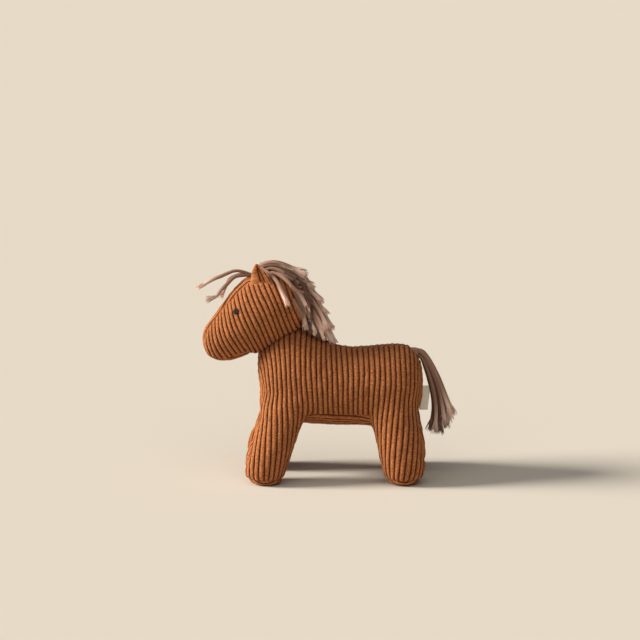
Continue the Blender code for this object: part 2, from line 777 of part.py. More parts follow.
def make_tail():
    """Bound ball of yarn in its pocket, and the locks that spring from it and hang."""
    swing = add_pivot("tail_swing", TAIL_PIVOT)
    shape = bmesh.new()
    bmesh.ops.create_uvsphere(shape, u_segments=12, v_segments=8, radius=TAIL_ROOT_RADIUS)
    bmesh.ops.translate(shape, verts=shape.verts, vec=TAIL_PIVOT)
    mesh = bpy.data.meshes.new("tail_root")
    shape.to_mesh(mesh)
    shape.free()
    mesh.shade_smooth()
    add_part("tail_root", mesh, MANE_YARN, swing)
    lift = add_pivot("tail_lift", TAIL_PIVOT)
    line = [TAIL_PIVOT + Vector((back, 0.0, -drop)) * TAIL_LENGTH for back, drop in tail_line_shares]
    for word, depth, side, length, elevation, azimuth in tail_lock_shares:
        up, round_z = math.radians(elevation), math.radians(azimuth)
        level = math.cos(up)
        outward = Vector((level * math.cos(round_z), level * math.sin(round_z), math.sin(up)))
        start = TAIL_PIVOT + outward * (TAIL_ROOT_RADIUS + 3 * GAP)
        points = [start, start + outward * TAIL_LOCK_RADIUS / 2]
        for k, place in enumerate(line):
            ahead = (line[min(k + 1, len(line) - 1)] - line[max(k - 1, 0)]).normalized()
            fan = TAIL_SPREAD * (1 + tail_fan_share * (k / (len(line) - 1)) ** 2)
            offset = Vector((-ahead.z, 0.0, ahead.x)) * depth + Vector((0.0, side, 0.0))
            points.append(place + offset * fan)
        path = smooth_path(points, 4 * TUBE_POINTS)
        path = path[:round(length * len(path))]
        path = smooth_path(path, TUBE_POINTS + 5)
        yarn_tube("tail_lock_" + word, path, TAIL_LOCK_RADIUS, 0.55, 0.55, lift)
    print("tail pivot at", tuple(TAIL_PIVOT))


def make_label():
    """Blank woven label that stands out from the rump seam."""
    z = BODY_MIDDLE - LABEL_DROP
    low, high = z - LABEL_HEIGHT / 2, z + LABEL_HEIGHT / 2
    edges = []
    for height in (low, z, high):
        aim = Vector((0.0, 0.0, height))
        edges.append(hit_toward(BODY_TREE, aim + Vector((BODY_LENGTH, 0.0, 0.0)), aim)[0].x)
    hinge_x = max(edges) + GAP + LABEL_THICKNESS / 2
    hinge = Vector((hinge_x, 0.0, z))
    pivot = add_pivot("label_seam", hinge)
    place = Matrix.Translation(hinge + Vector((LABEL_REACH / 2, 0.0, 0.0)))
    size = Matrix.Diagonal((LABEL_REACH, LABEL_THICKNESS, LABEL_HEIGHT, 1.0))
    shape = bmesh.new()
    bmesh.ops.create_cube(shape, size=1.0, matrix=place @ size)
    mesh = bpy.data.meshes.new("label")
    shape.to_mesh(mesh)
    shape.free()
    add_part("label", mesh, WOVEN_LABEL, pivot)
    print("label hinge at", tuple(hinge))


def parts_box():
    """Lowest and highest corners of the visible pieces."""
    graph = bpy.context.evaluated_depsgraph_get()
    corners = []
    for part in PARTS.objects:
        if part.type != "EMPTY":
            mesh = part.evaluated_get(graph).to_mesh()
            corners += [part.matrix_world @ vertex.co for vertex in mesh.vertices]
    low = Vector([min(corner[axis] for corner in corners) for axis in range(3)])
    high = Vector([max(corner[axis] for corner in corners) for axis in range(3)])
    return low, high


BODY_SURFACE = swell(add_cutter("body_surface", loft("body_surface", body_rings())))
BODY_CLEARANCE = flatten(push_out(swell(add_cutter("body_clearance", BODY_SURFACE.data)), GAP))
HEAD_SURFACE = swell(add_cutter("head_surface", loft("head_surface", head_rings())))
HEAD_CLEARANCE = flatten(push_out(swell(add_cutter("head_clearance", HEAD_SURFACE.data)), GAP))
BODY_TREE = surface_of(BODY_SURFACE)
HEAD_TREE = surface_of(HEAD_SURFACE)
TAIL_RISE = BODY_MIDDLE + tail_height_share * BODY_DEPTH / 2
TAIL_AIM = Vector((tail_along_share * BODY_LENGTH / 2, 0.0, TAIL_RISE))
TAIL_SEAT, TAIL_NORMAL = hit_toward(BODY_TREE, TAIL_AIM + tail_root_direction * BODY_DEPTH, TAIL_AIM)
TAIL_PIVOT = TAIL_SEAT - TAIL_NORMAL * TAIL_ROOT_SINK

make_body()
make_legs()
make_head()
for ear_word, ear_side in (("left", -1), ("right", 1)):
    make_ear(ear_word, ear_side)
    make_eye(ear_word, ear_side)
CREST = crest_path()
make_tape(CREST)
make_mane(CREST)
make_ridge(CREST)
make_forelock()
make_tail()
make_label()

# The origin goes under the middle of the whole horse
LOW, HIGH = parts_box()
ORIGIN.location = Vector((-(LOW.x + HIGH.x) / 2, -(LOW.y + HIGH.y) / 2, -LOW.z))
print("moved by", tuple(ORIGIN.location), "size", tuple(HIGH - LOW))
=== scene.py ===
"""Dresses the plush horse: a chunky ribbed knit cover, cotton yarn mane, forelock and tail, folded ears,
stitched eyes and a blank woven label, on a pale floor in soft light."""

import functools
import math

import bmesh
import bpy
import numpy as np
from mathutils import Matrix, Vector, kdtree
from mathutils.bvhtree import BVHTree


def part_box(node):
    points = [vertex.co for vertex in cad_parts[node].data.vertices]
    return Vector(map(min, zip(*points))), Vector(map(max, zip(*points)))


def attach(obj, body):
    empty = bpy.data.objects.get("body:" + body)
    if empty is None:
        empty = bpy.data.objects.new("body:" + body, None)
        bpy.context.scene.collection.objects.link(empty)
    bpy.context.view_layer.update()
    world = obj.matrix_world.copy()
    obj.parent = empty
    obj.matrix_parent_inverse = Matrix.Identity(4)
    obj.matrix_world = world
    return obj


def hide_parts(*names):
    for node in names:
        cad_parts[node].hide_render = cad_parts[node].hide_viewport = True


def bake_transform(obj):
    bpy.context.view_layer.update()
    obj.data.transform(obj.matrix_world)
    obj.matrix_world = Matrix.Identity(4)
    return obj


bl_info = {
    "name": "Plush Horse",
    "version": (1, 0, 0),
    "blender": (4, 5, 0),
    "location": "3D View > Sidebar > Plush Horse",
    "description": "Makes the cover, yarn and stitched details of a ribbed plush horse",
    "category": "Object",
}

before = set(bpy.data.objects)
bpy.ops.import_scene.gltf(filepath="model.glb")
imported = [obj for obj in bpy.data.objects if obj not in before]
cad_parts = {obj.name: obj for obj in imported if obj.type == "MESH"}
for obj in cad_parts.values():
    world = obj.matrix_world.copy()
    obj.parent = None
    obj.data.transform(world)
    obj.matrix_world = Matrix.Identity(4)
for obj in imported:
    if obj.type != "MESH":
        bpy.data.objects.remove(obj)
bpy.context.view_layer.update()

MM = 0.001
LEFT, RIGHT = -1, 1
SIDE_NAMES = {LEFT: "left", RIGHT: "right"}

# Where the horse's middle lines run, in metres.
BODY_AXIS_Z = 0.0845
BELLY_SEAM_Z = 0.062
SOLE_SEAM_Z = 0.0048
LEG_TOP_Z = 0.085
HEAD_CENTRE = (-0.0635, 0.150)
HEAD_SLOPE = 0.45
LEGS = {"front": (-0.0311, -0.0237, 0.021), "hind": (0.0569, 0.0130, 0.021)}
HIP_Y, FOOT_Y = 0.018, 0.030

# How far the ribs lean as they run down, read in the side view: x mm, z mm, x per z.
BODY_LEANS = (
    (-60, 113, 0.45), (-56, 93, -0.35), (-59, 72, 0.55), (-65, 49, 0.30), (-71, 27, -0.07), (-71, 9, 0.00),
    (-48, 113, -0.20), (-48, 84, 0.00), (-45, 61, 0.35), (-48, 44, 0.28), (-56, 27, 0.18), (-57, 9, 0.03),
    (-30, 107, -0.08), (-28, 82, 0.08), (-31, 59, 0.12), (-39, 38, 0.10), (-45, 17, 0.05), (-19, 90, 0.00),
    (-19, 67, -0.05), (-26, 52, -0.55), (-35, 29, -0.30), (-40, 9, -0.20), (-3, 107, 0.03), (-3, 78, 0.03),
    (15, 107, 0.06), (15, 75, 0.07), (30, 113, 0.03), (32, 84, 0.00), (43, 113, -0.02), (41, 90, -0.24),
    (37, 72, -0.05), (43, 55, 0.00), (48, 38, 0.10), (53, 21, -0.02), (57, 6, 0.00), (53, 107, 0.03),
    (52, 84, -0.18), (50, 67, -0.30), (54, 44, -0.02), (59, 21, -0.22), (64, 107, 0.07), (63, 72, -0.28),
    (64, 38, -0.32), (65, 15, -0.28), (75, 113, 0.10), (77, 72, -0.05), (78, 38, -0.30), (79, 15, -0.26),
    (83, 95, 0.07), (85, 67, -0.10), (87, 38, -0.05), (86, 15, -0.05),
)
HEAD_LEANS = (
    (-106, 137, 0.05), (-104, 126, 0.88), (-97, 118, 0.80), (-99, 147, 0.32), (-96, 134, 0.62), (-87, 123, 0.82),
    (-93, 153, 0.22), (-84, 129, 0.72), (-75, 120, 0.80), (-88, 162, 0.30), (-81, 141, 0.50), (-72, 127, 0.67),
    (-82, 171, 0.28), (-75, 149, 0.43), (-65, 128, 0.26), (-74, 174, 0.00), (-63, 143, 0.38), (-56, 126, 0.15),
    (-66, 174, 0.05), (-55, 143, 0.34), (-57, 174, 1.25), (-46, 149, 0.31), (-39, 134, 0.15), (-45, 169, 0.52),
    (-34, 147, 0.30), (-37, 172, 0.15), (-27, 145, 0.38),
)
LEAN_REACH = 9.0

# Shares of a rib, from groove to groove, where its round back is drawn.
RIB_STEPS = (0.0, 0.07, 0.17, 0.32, 0.5, 0.68, 0.83, 0.93)

# Strands of the mane on one side: least distance from the horse's middle at root and tip in mm, how many strands
# deep they lie on the pile, and the route as x mm and z mm.
SIDE_STRANDS = (
    (3, 3, 0.1, ((-27.0, 170.0), (-22.5, 161.0), (-19.0, 152.0), (-16.5, 144.0), (-13.0, 136.0))),
    (5, 6, 0.1, ((-29.0, 168.0), (-25.0, 159.0), (-21.5, 150.5), (-18.5, 143.0), (-16.0, 137.0))),
    (16, 20, 0.2, ((-31.7, 177.4), (-28.1, 172.5), (-25.0, 166.3), (-22.2, 159.1), (-20.4, 151.4), (-18.5, 142.9))),
    (15, 17, 0.2, ((-29.9, 177.7), (-25.4, 171.3), (-20.9, 163.2), (-16.8, 155.0), (-14.1, 146.8), (-11.3, 137.3))),
    (13, 13, 0.2, ((-26.3, 175.5), (-20.9, 167.2), (-15.9, 159.0), (-11.4, 149.8), (-6.9, 140.2), (-3.2, 131.5))),
    (9, 7, 0.2, ((-21.8, 171.0), (-15.5, 162.7), (-9.2, 152.6), (-4.2, 143.3), (0.3, 134.1), (4.3, 126.7))),
    (12, 12, 0.3, ((-27.2, 174.4), (-20.9, 167.5), (-15.5, 160.2), (-11.0, 152.8), (-6.9, 145.5), (-4.2, 138.6))),
    (5, 2, 0.2, ((-25.4, 176.7), (-18.2, 171.1), (-11.4, 164.5), (-5.6, 157.1), (-1.1, 151.5))),
    (4, 2, 0.2, ((-20.9, 172.8), (-12.8, 164.5), (-6.5, 156.2), (-1.5, 148.8), (1.8, 143.2), (4.3, 138.9))),
    (3, 2, 0.1, ((-12.8, 161.6), (-6.5, 152.4), (-1.1, 142.3), (3.0, 134.0), (6.6, 127.1))),
    (1, 1, 0.3, ((-50.6, 193.8), (-43.4, 193.3), (-36.2, 191.5), (-29.0, 188.6), (-21.8, 186.0))),
    (2, 1, 0.3, ((-58.7, 193.1), (-53.3, 194.8), (-47.0, 195.7), (-40.7, 194.7), (-34.4, 192.5), (-28.1, 189.7),
                 (-20.9, 187.3))),
    (8, 7, 0.5, ((-57.8, 190.6), (-51.8, 191.4), (-46.7, 191.7), (-41.6, 190.0), (-35.2, 187.3), (-29.0, 183.9),
                 (-23.6, 181.1), (-18.2, 178.0), (-14.0, 175.3))),
    (6, 5, 0.4, ((-60.0, 191.5), (-56.0, 193.4), (-51.5, 194.4), (-46.1, 194.4), (-40.7, 192.9), (-35.3, 190.5),
                 (-29.9, 187.7), (-24.5, 185.0), (-20.0, 181.3))),
    (3, 5, 0.6, ((-61.8, 191.9), (-58.2, 194.2), (-52.5, 196.1), (-46.1, 196.3), (-41.6, 194.9), (-37.5, 192.2),
                 (-33.8, 188.6))),
    (8, 9, 0.8, ((-47.0, 188.3), (-41.6, 188.3), (-36.4, 186.1), (-31.3, 183.8), (-26.2, 180.7), (-19.7, 176.7),
                 (-13.9, 171.5), (-9.4, 167.0), (-5.9, 163.3))),
    (13, 12, 0.9, ((-32.6, 179.1), (-28.1, 176.0), (-23.6, 172.9), (-18.4, 170.3), (-13.3, 165.0), (-9.4, 159.8),
                   (-5.6, 153.2), (-3.0, 147.9), (-0.4, 141.4))),
    (10, 19, 1.0, ((-51.0, 189.2), (-47.4, 189.4), (-43.8, 188.5), (-39.7, 186.7), (-34.5, 183.0), (-30.0, 178.0),
                   (-25.5, 173.6), (-22.3, 168.5), (-19.7, 163.5), (-17.6, 158.3))),
    (11, 23, 0.5, ((-59.1, 193.2), (-55.5, 191.7), (-51.5, 189.0), (-47.3, 186.1), (-42.8, 181.8), (-40.3, 176.8),
                   (-37.7, 171.3), (-35.4, 166.0))),
)
FORELOCK_STRANDS = (
    ((-67.0, 185.2), (-70.6, 186.6), (-76.7, 188.6), (-82.6, 188.8), (-88.5, 186.7), (-95.0, 183.9), (-101.9, 181.1),
     (-112.5, 175.0)),
    ((-68.5, 184.4), (-78.0, 184.4), (-83.1, 182.8), (-88.5, 177.6), (-95.0, 171.1), (-98.7, 166.5), (-103.8, 165.0)),
    ((-68.5, 185.2), (-74.9, 185.6), (-81.2, 183.9), (-87.5, 179.8), (-93.1, 168.5)),
)
FORELOCK_ROOT = (-61.0, 181.0)
FORELOCK_DEPTHS = (-4.0, -8.0, 3.0)

# Creases of the stuffed cover in the side view, as x mm and z mm, with depth and half width in mm.
CREASES = (
    (((37.2, 88.0), (36.4, 80.0), (37.0, 70.0), (39.5, 62.0)), 1.5, 1.5),
    (((-4.9, 107.6), (-4.4, 105.0), (-4.6, 102.0)), 0.7, 1.1),
)
# Where the head's cover ends over the neck, how far from there it is drawn in, and how deep its edge lies.
NECK_GAP, NECK_TUCK, NECK_SINK = 0.0012, 0.0036, 0.0016
# Depth and half width of the crease that the neck's seam makes in the body's cover.
NECK_CREASE = (0.0016, 0.0030)


class PlushCoverSettings(bpy.types.PropertyGroup):
    """The ribbed knit that covers body, legs, head and ears."""

    rib_pitch: bpy.props.FloatProperty(
        name="Rib pitch", description="From one groove to the next", default=0.0047, unit="LENGTH")
    head_pitch: bpy.props.FloatProperty(
        name="Rib pitch on the head", description="From one groove to the next", default=0.0044, unit="LENGTH")
    rib_depth: bpy.props.FloatProperty(
        name="Rib depth", description="How deep the grooves lie under the ribs", default=0.0016, unit="LENGTH")
    seam_depth: bpy.props.FloatProperty(
        name="Seam depth", description="How deep a seam pulls the cover in", default=0.0012, unit="LENGTH")
    seam_width: bpy.props.FloatProperty(
        name="Seam width", description="How far from a seam the cover is pulled in", default=0.0019, unit="LENGTH")
    fill: bpy.props.FloatProperty(
        name="Fill", description="How tightly the horse is stuffed", default=0.9, subtype="FACTOR")
    colour: bpy.props.FloatVectorProperty(
        name="Cover colour", description="The knit on top of a rib", default=(0.48, 0.180, 0.068),
        subtype="COLOR", size=3)
    # Painted shade: the colour that the knit is painted in the grooves, where the ribs shade it.
    groove_shade_colour: bpy.props.FloatVectorProperty(
        name="Painted groove shade", description="Shade painted on the knit between two ribs", default=(0.13, 0.0165, 0.0015),
        subtype="COLOR", size=3)


class PlushYarnSettings(bpy.types.PropertyGroup):
    """The cotton yarn of mane, forelock and tail."""

    thickness: bpy.props.FloatProperty(
        name="Yarn thickness", description="Across one strand", default=0.0037, unit="LENGTH")
    brush_length: bpy.props.FloatProperty(
        name="Brush length", description="Loose fibres at the cut end of a strand", default=0.0060, unit="LENGTH")
    brush_fibres: bpy.props.IntProperty(
        name="Brush fibres", description="Loose fibres at each cut end", default=26)
    colour: bpy.props.FloatVectorProperty(
        name="Yarn colour", description="The yarn near its root", default=(0.27, 0.145, 0.093), subtype="COLOR",
        size=3)
    tip_colour: bpy.props.FloatVectorProperty(
        name="Tip colour", description="The frayed ends", default=(0.80, 0.57, 0.46), subtype="COLOR", size=3)


class PlushDetailSettings(bpy.types.PropertyGroup):
    """Ears, eyes and label."""

    ear_height: bpy.props.FloatProperty(
        name="Ear height", description="From its seam to its tip", default=0.0185, unit="LENGTH")
    eye_diameter: bpy.props.FloatProperty(
        name="Eye diameter", description="Across the stitched eye", default=0.0054, unit="LENGTH")
    eye_colour: bpy.props.FloatVectorProperty(
        name="Eye colour", description="The eye's thread", default=(0.010, 0.007, 0.006), subtype="COLOR", size=3)
    label_reach: bpy.props.FloatProperty(
        name="Label reach", description="How far the folded label stands out of its seam", default=0.0056,
        unit="LENGTH")
    label_height: bpy.props.FloatProperty(
        name="Label height", description="The tape's width", default=0.022, unit="LENGTH")
    label_colour: bpy.props.FloatVectorProperty(
        name="Label colour", description="The woven tape", default=(0.98, 0.90, 0.78), subtype="COLOR", size=3)


class PlushStageSettings(bpy.types.PropertyGroup):
    """Floor, light and camera."""

    floor_colour: bpy.props.FloatVectorProperty(
        name="Floor colour", description="A plain pale floor", default=(0.64, 0.585, 0.505), subtype="COLOR", size=3)
    key_strength: bpy.props.FloatProperty(
        name="Key light", description="The soft main light, from the horse's front", default=6.0, min=0.0)
    fill_strength: bpy.props.FloatProperty(
        name="Fill light", description="The broad weak light from the camera's side", default=1.15, min=0.0)
    lens: bpy.props.FloatProperty(
        name="Lens", description="Focal length on a 36 mm sensor", default=128.1, unit="CAMERA")


def unit(rows):
    """Each row at length one."""
    return rows / np.maximum(np.linalg.norm(rows, axis=-1, keepdims=True), 1e-12)


def normals_of(points, triangles):
    """A unit normal at each point, from the triangles round it."""
    a, b, c = (points[triangles[:, k]] for k in range(3))
    face = np.cross(b - a, c - a)
    total = np.zeros_like(points)
    for k in range(3):
        np.add.at(total, triangles[:, k], face)
    return unit(total)


def largest_island(points, faces):
    """Only the biggest connected part of a mesh."""
    mark = np.arange(len(points))
    while True:
        fresh = mark.copy()
        np.minimum.at(fresh, faces.ravel(), np.repeat(mark[faces].min(axis=1), faces.shape[1]))
        fresh = fresh[fresh]
        if (fresh == mark).all():
            break
        mark = fresh
    best = np.bincount(mark).argmax()
    kept = np.flatnonzero(mark == best)
    place = np.full(len(points), -1)
    place[kept] = np.arange(len(kept))
    return points[kept], place[faces[mark[faces[:, 0]] == best]]


def add_object(name, data):
    """An object in the scene."""
    made = bpy.data.objects.new(name, data)
    bpy.context.scene.collection.objects.link(made)
    return made


def shell_of(nodes, grain, passes):
    """The outer surface of some CAD solids as one even mesh: points with normals as rows, and triangles."""
    joined = bmesh.new()
    for name in nodes:
        solid = bmesh.new()
        solid.from_mesh(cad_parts[name].data)
        bmesh.ops.remove_doubles(solid, verts=solid.verts, dist=1e-6)
        scrap = bpy.data.meshes.new("solid")
        solid.to_mesh(scrap)
        solid.free()
        joined.from_mesh(scrap)
        bpy.data.meshes.remove(scrap)
    mesh = bpy.data.meshes.new("shell")
    joined.to_mesh(mesh)
    joined.free()
    shell = add_object("shell", mesh)
    remesh = shell.modifiers.new("remesh", "REMESH")
    remesh.mode = "VOXEL"
    remesh.voxel_size = grain
    smooth = shell.modifiers.new("smooth", "SMOOTH")
    smooth.factor = 0.5
    smooth.iterations = passes
    made = shell.evaluated_get(bpy.context.evaluated_depsgraph_get()).to_mesh()
    points = np.zeros(len(made.vertices) * 3)
    made.vertices.foreach_get("co", points)
    points = points.reshape(-1, 3)
    made.calc_loop_triangles()
    triangles = np.zeros(len(made.loop_triangles) * 3, int)
    made.loop_triangles.foreach_get("vertices", triangles)
    bpy.data.objects.remove(shell)
    bpy.data.meshes.remove(mesh)
    points, triangles = largest_island(points, triangles.reshape(-1, 3))
    return np.hstack([points, normals_of(points, triangles)]), triangles


def eased(rows, triangles, weight, passes):
    """The surface smoothed where weight is above zero."""
    points = rows[:, :3].copy()
    pairs = np.unique(np.sort(triangles[:, [0, 1, 1, 2, 2, 0]].reshape(-1, 2), axis=1), axis=0)
    ends, others = np.concatenate([pairs[:, 0], pairs[:, 1]]), np.concatenate([pairs[:, 1], pairs[:, 0]])
    uses = np.bincount(ends, minlength=len(points))[:, None]
    for _ in range(passes):
        middle = np.column_stack([np.bincount(ends, points[others, k], minlength=len(points)) for k in range(3)])
        points += 0.6 * weight[:, None] * (middle / uses - points)
    return np.hstack([points, normals_of(points, triangles)])


def cut(rows, triangles, field):
    """The sheet with an edge wherever field is zero, and field on its new rows. Every column is carried along."""
    side = np.sign(np.where(np.abs(field) < 1e-6, 0.0, field)).astype(int)
    pairs = np.sort(triangles[:, [0, 1, 1, 2, 2, 0]].reshape(-1, 2), axis=1)
    crossing = np.unique(pairs[side[pairs[:, 0]] * side[pairs[:, 1]] < 0], axis=0)
    share = (field[crossing[:, 0]] / (field[crossing[:, 0]] - field[crossing[:, 1]]))[:, None]
    fresh = rows[crossing[:, 0]] * (1 - share) + rows[crossing[:, 1]] * share
    place = {(a, b): len(rows) + k for k, (a, b) in enumerate(crossing.tolist())}
    signs = side[triangles]
    split = (signs.min(axis=1) < 0) & (signs.max(axis=1) > 0)
    kept = triangles[~split].tolist()
    for corners in triangles[split].tolist():
        parts = {LEFT: [], RIGHT: []}
        for k in range(3):
            a, b = corners[k], corners[(k + 1) % 3]
            for part in parts:
                if side[a] in (part, 0):
                    parts[part].append(a)
            if side[a] * side[b] < 0:
                point = place[(min(a, b), max(a, b))]
                parts[LEFT].append(point)
                parts[RIGHT].append(point)
        for part in parts.values():
            kept += [[part[0], part[k], part[k + 1]] for k in range(1, len(part) - 1)]
    return np.vstack([rows, fresh]), np.array(kept), np.append(field, np.zeros(len(fresh)))


def part_of(rows, triangles, chosen):
    """The chosen triangles as a sheet of their own."""
    used = np.unique(triangles[chosen])
    place = np.full(len(rows), -1)
    place[used] = np.arange(len(used))
    return rows[used], place[triangles[chosen]]


def rim_of(rows, triangles):
    """Points along the open edge of a sheet."""
    pairs = np.sort(triangles[:, [0, 1, 1, 2, 2, 0]].reshape(-1, 2), axis=1)
    edges, uses = np.unique(pairs, axis=0, return_counts=True)
    rim = edges[uses == 1]
    ends = rows[rim][:, :, :3]
    return np.vstack([ends[:, 0] * (1 - share) + ends[:, 1] * share for share in (0.0, 0.33, 0.67)])


def distances(points, targets):
    """How far each point is from the nearest target."""
    tree = kdtree.KDTree(len(targets))
    for k, target in enumerate(targets.tolist()):
        tree.insert(target, k)
    tree.balance()
    return np.array([tree.find(point)[2] for point in points.tolist()])


def tree_of(rows, triangles):
    """A sheet that can be asked for its nearest point."""
    return BVHTree.FromPolygons(rows[:, :3].tolist(), triangles.tolist())


def above(tree, points):
    """How far each point lies outside a surface, below zero inside, and the surface's points and normals there."""
    found = [tree.find_nearest(point) for point in points.tolist()]
    near = np.array([item[0] for item in found])
    normal = np.array([item[1] for item in found])
    return ((points - near) * normal).sum(axis=1), near, normal


def follow(points, triangles, wanted, guess):
    """The field whose gradient is nearest to wanted on every triangle, by conjugate gradients from guess."""
    a, b, c = (points[triangles[:, k]] for k in range(3))
    face = np.cross(b - a, c - a)
    double = np.maximum(np.linalg.norm(face, axis=1, keepdims=True), 1e-14)
    normal = face / double
    slopes = [np.cross(normal, c - b) / double, np.cross(normal, a - c) / double, np.cross(normal, b - a) / double]
    area = double / 2

    def gather(vectors):
        weighted = vectors * area
        return sum(
            np.bincount(triangles[:, k], (weighted * slopes[k]).sum(axis=1), minlength=len(points)) for k in range(3))

    def stiffness(field):
        return gather(sum(field[triangles[:, k]][:, None] * slopes[k] for k in range(3)))

    scale = sum(
        np.bincount(triangles[:, k], (slopes[k] ** 2).sum(axis=1) * area[:, 0], minlength=len(points))
        for k in range(3)) + 1e-12
    field = guess.copy()
    rest = gather(wanted) - stiffness(field)
    eased = rest / scale
    step = eased.copy()
    before = float(rest @ eased)
    first = before
    for _ in range(900):
        pushed = stiffness(step)
        pace = before / max(float(step @ pushed), 1e-300)
        field += pace * step
        rest -= pace * pushed
        eased = rest / scale
        after = float(rest @ eased)
        if after < 1e-9 * first:
            break
        step = eased + (after / before) * step
        before = after
    return field


def sliced(rows, triangles, ribs):
    """The sheet with an edge along every step of every rib, as polygons. The last column is the rib field."""
    rows = np.column_stack([rows, ribs])
    steps = np.array(RIB_STEPS)
    whole = np.floor(ribs).astype(int)
    below = whole * len(steps) + np.searchsorted(steps, ribs - whole, side="right") - 1
    below, ribs, faces, place, fresh = below.tolist(), ribs.tolist(), [], {}, []
    count = len(rows)

    def at(a, b, level):
        key = (a, b, level) if a < b else (b, a, level)
        if key not in place:
            value = level // len(steps) + RIB_STEPS[level % len(steps)]
            place[key] = count + len(fresh)
            fresh.append((key[0], key[1], (value - ribs[key[0]]) / (ribs[key[1]] - ribs[key[0]])))
        return place[key]

    for corners in triangles.tolist():
        low, mid, high = sorted(corners, key=ribs.__getitem__)
        turn = corners.index(mid) == (corners.index(low) + 1) % 3
        left = right = [low]
        lower, passed = [low], False
        for level in range(below[low] + 1, below[high] + 1):
            value = level // len(steps) + RIB_STEPS[level % len(steps)]
            if not ribs[low] < value < ribs[high]:
                continue
            left = at(low, high, level)
            polygon = list(lower)
            if not passed and value > ribs[mid]:
                polygon.append(mid)
                passed = True
            right = at(mid, high, level) if passed else at(low, mid, level)
            polygon += [right, left]
            faces.append(polygon if turn else polygon[::-1])
            lower = [left, right]
        polygon = lower + ([] if passed else [mid]) + [high]
        faces.append(polygon if turn else polygon[::-1])
    made = np.array(fresh)
    one, two, share = made[:, 0].astype(int), made[:, 1].astype(int), made[:, 2:]
    return np.vstack([rows, rows[one] * (1 - share) + rows[two] * share]), faces


def add_piece(name, points, faces, material, uvs=None, smooth=True):
    """A mesh object from arrays. uvs is one pair for each point."""
    mesh = bpy.data.meshes.new(name)
    mesh.from_pydata(np.asarray(points).tolist(), [], faces if isinstance(faces, list) else faces.tolist())
    mesh.polygons.foreach_set("use_smooth", [smooth] * len(mesh.polygons))
    if uvs is not None:
        corners = np.zeros(len(mesh.loops), int)
        mesh.loops.foreach_get("vertex_index", corners)
        mesh.uv_layers.new(name="along").data.foreach_set("uv", np.asarray(uvs)[corners].astype(np.float32).ravel())
    mesh.materials.append(material)
    mesh.update()
    return add_object(name, mesh)


def set_inputs(tree, node, values):
    """Sets a node's inputs to numbers or colours, or links them to the outputs of other nodes."""
    for name, value in values.items():
        if isinstance(value, bpy.types.Node):
            value = value.outputs[0]
        if isinstance(value, bpy.types.NodeSocket):
            tree.links.new(value, node.inputs[name])
        else:
            node.inputs[name].default_value = value


def add_node(tree, kind, values=None, **settings):
    """A shader node with its settings and inputs."""
    node = tree.nodes.new(kind)
    for name, value in settings.items():
        setattr(node, name, value)
    set_inputs(tree, node, values or {})
    return node


def maths(tree, operation, first, second=0.0, third=0.0, clamp=False):
    """A Math node's output."""
    values = {0: first, 1: second, 2: third}
    return add_node(tree, "ShaderNodeMath", values, operation=operation, use_clamp=clamp).outputs[0]


def noise(tree, place, scale, detail, roughness):
    """A noise texture's output."""
    values = {"Vector": place, "Scale": scale, "Detail": detail, "Roughness": roughness}
    return add_node(tree, "ShaderNodeTexNoise", values).outputs[0]


def smooth_step(tree, value, start, end):
    """An output that is zero before start and one after end."""
    values = {0: value, 1: start, 2: end, 3: 0.0, 4: 1.0}
    return add_node(tree, "ShaderNodeMapRange", values, interpolation_type="SMOOTHSTEP").outputs[0]


def mix_colours(tree, share, first, second, blend="MIX"):
    """A colour Mix node's output."""
    node = add_node(tree, "ShaderNodeMix", data_type="RGBA", blend_type=blend)
    set_inputs(tree, node, {0: share, 6: first, 7: second})
    return node.outputs[2]


def shaded(tree, colour, light):
    """A colour's output, lighter or darker by a number's output."""
    grey = add_node(tree, "ShaderNodeCombineColor", {k: light for k in range(3)})
    return mix_colours(tree, 1.0, colour, grey.outputs[0], "MULTIPLY")


def rgba(colour, share=1.0):
    """A colour with alpha, darker or lighter by share."""
    return (*(channel * share for channel in colour), 1.0)


def start_material(name):
    """A new material, its node tree and its shader."""
    material = bpy.data.materials.new(name)
    material.use_nodes = True
    return material, material.node_tree, material.node_tree.nodes["Principled BSDF"]


def dress(tree, surface, colour, relief, values):
    """Gives a shader its colour, its constants, and a bump with its strength, distance in metres and height."""
    strength, distance, height = relief
    bump = add_node(tree, "ShaderNodeBump", {"Strength": strength, "Distance": distance, "Height": height})
    set_inputs(tree, surface, {"Base Color": colour, "Normal": bump, **values})


# Stitches along a rib for each rib's width, columns of stitches across it, and how steeply their arms run.
KNIT_STITCHES, KNIT_WALES, KNIT_ARMS = 3.6, 3.0, 1.3
# How light the knit is between its loops, and how much lighter on them.
KNIT_BASE, KNIT_LOOPS = 0.76, 0.36
# Where the painted shade of a groove sets in, from the middle of a rib to its edge.
GROOVE_SHADE_START = 0.36
# Noises in the knit, from fine flecks to broad patches: scale, detail, roughness, share in the tone and in the height.
KNIT_NOISES = ((7.0, 3.0, 0.7, 1.0, 0.8), (2.7, 2.0, 0.6, 1.8, 1.2), (0.45, 2.0, 0.5, 0.40, 0.0))


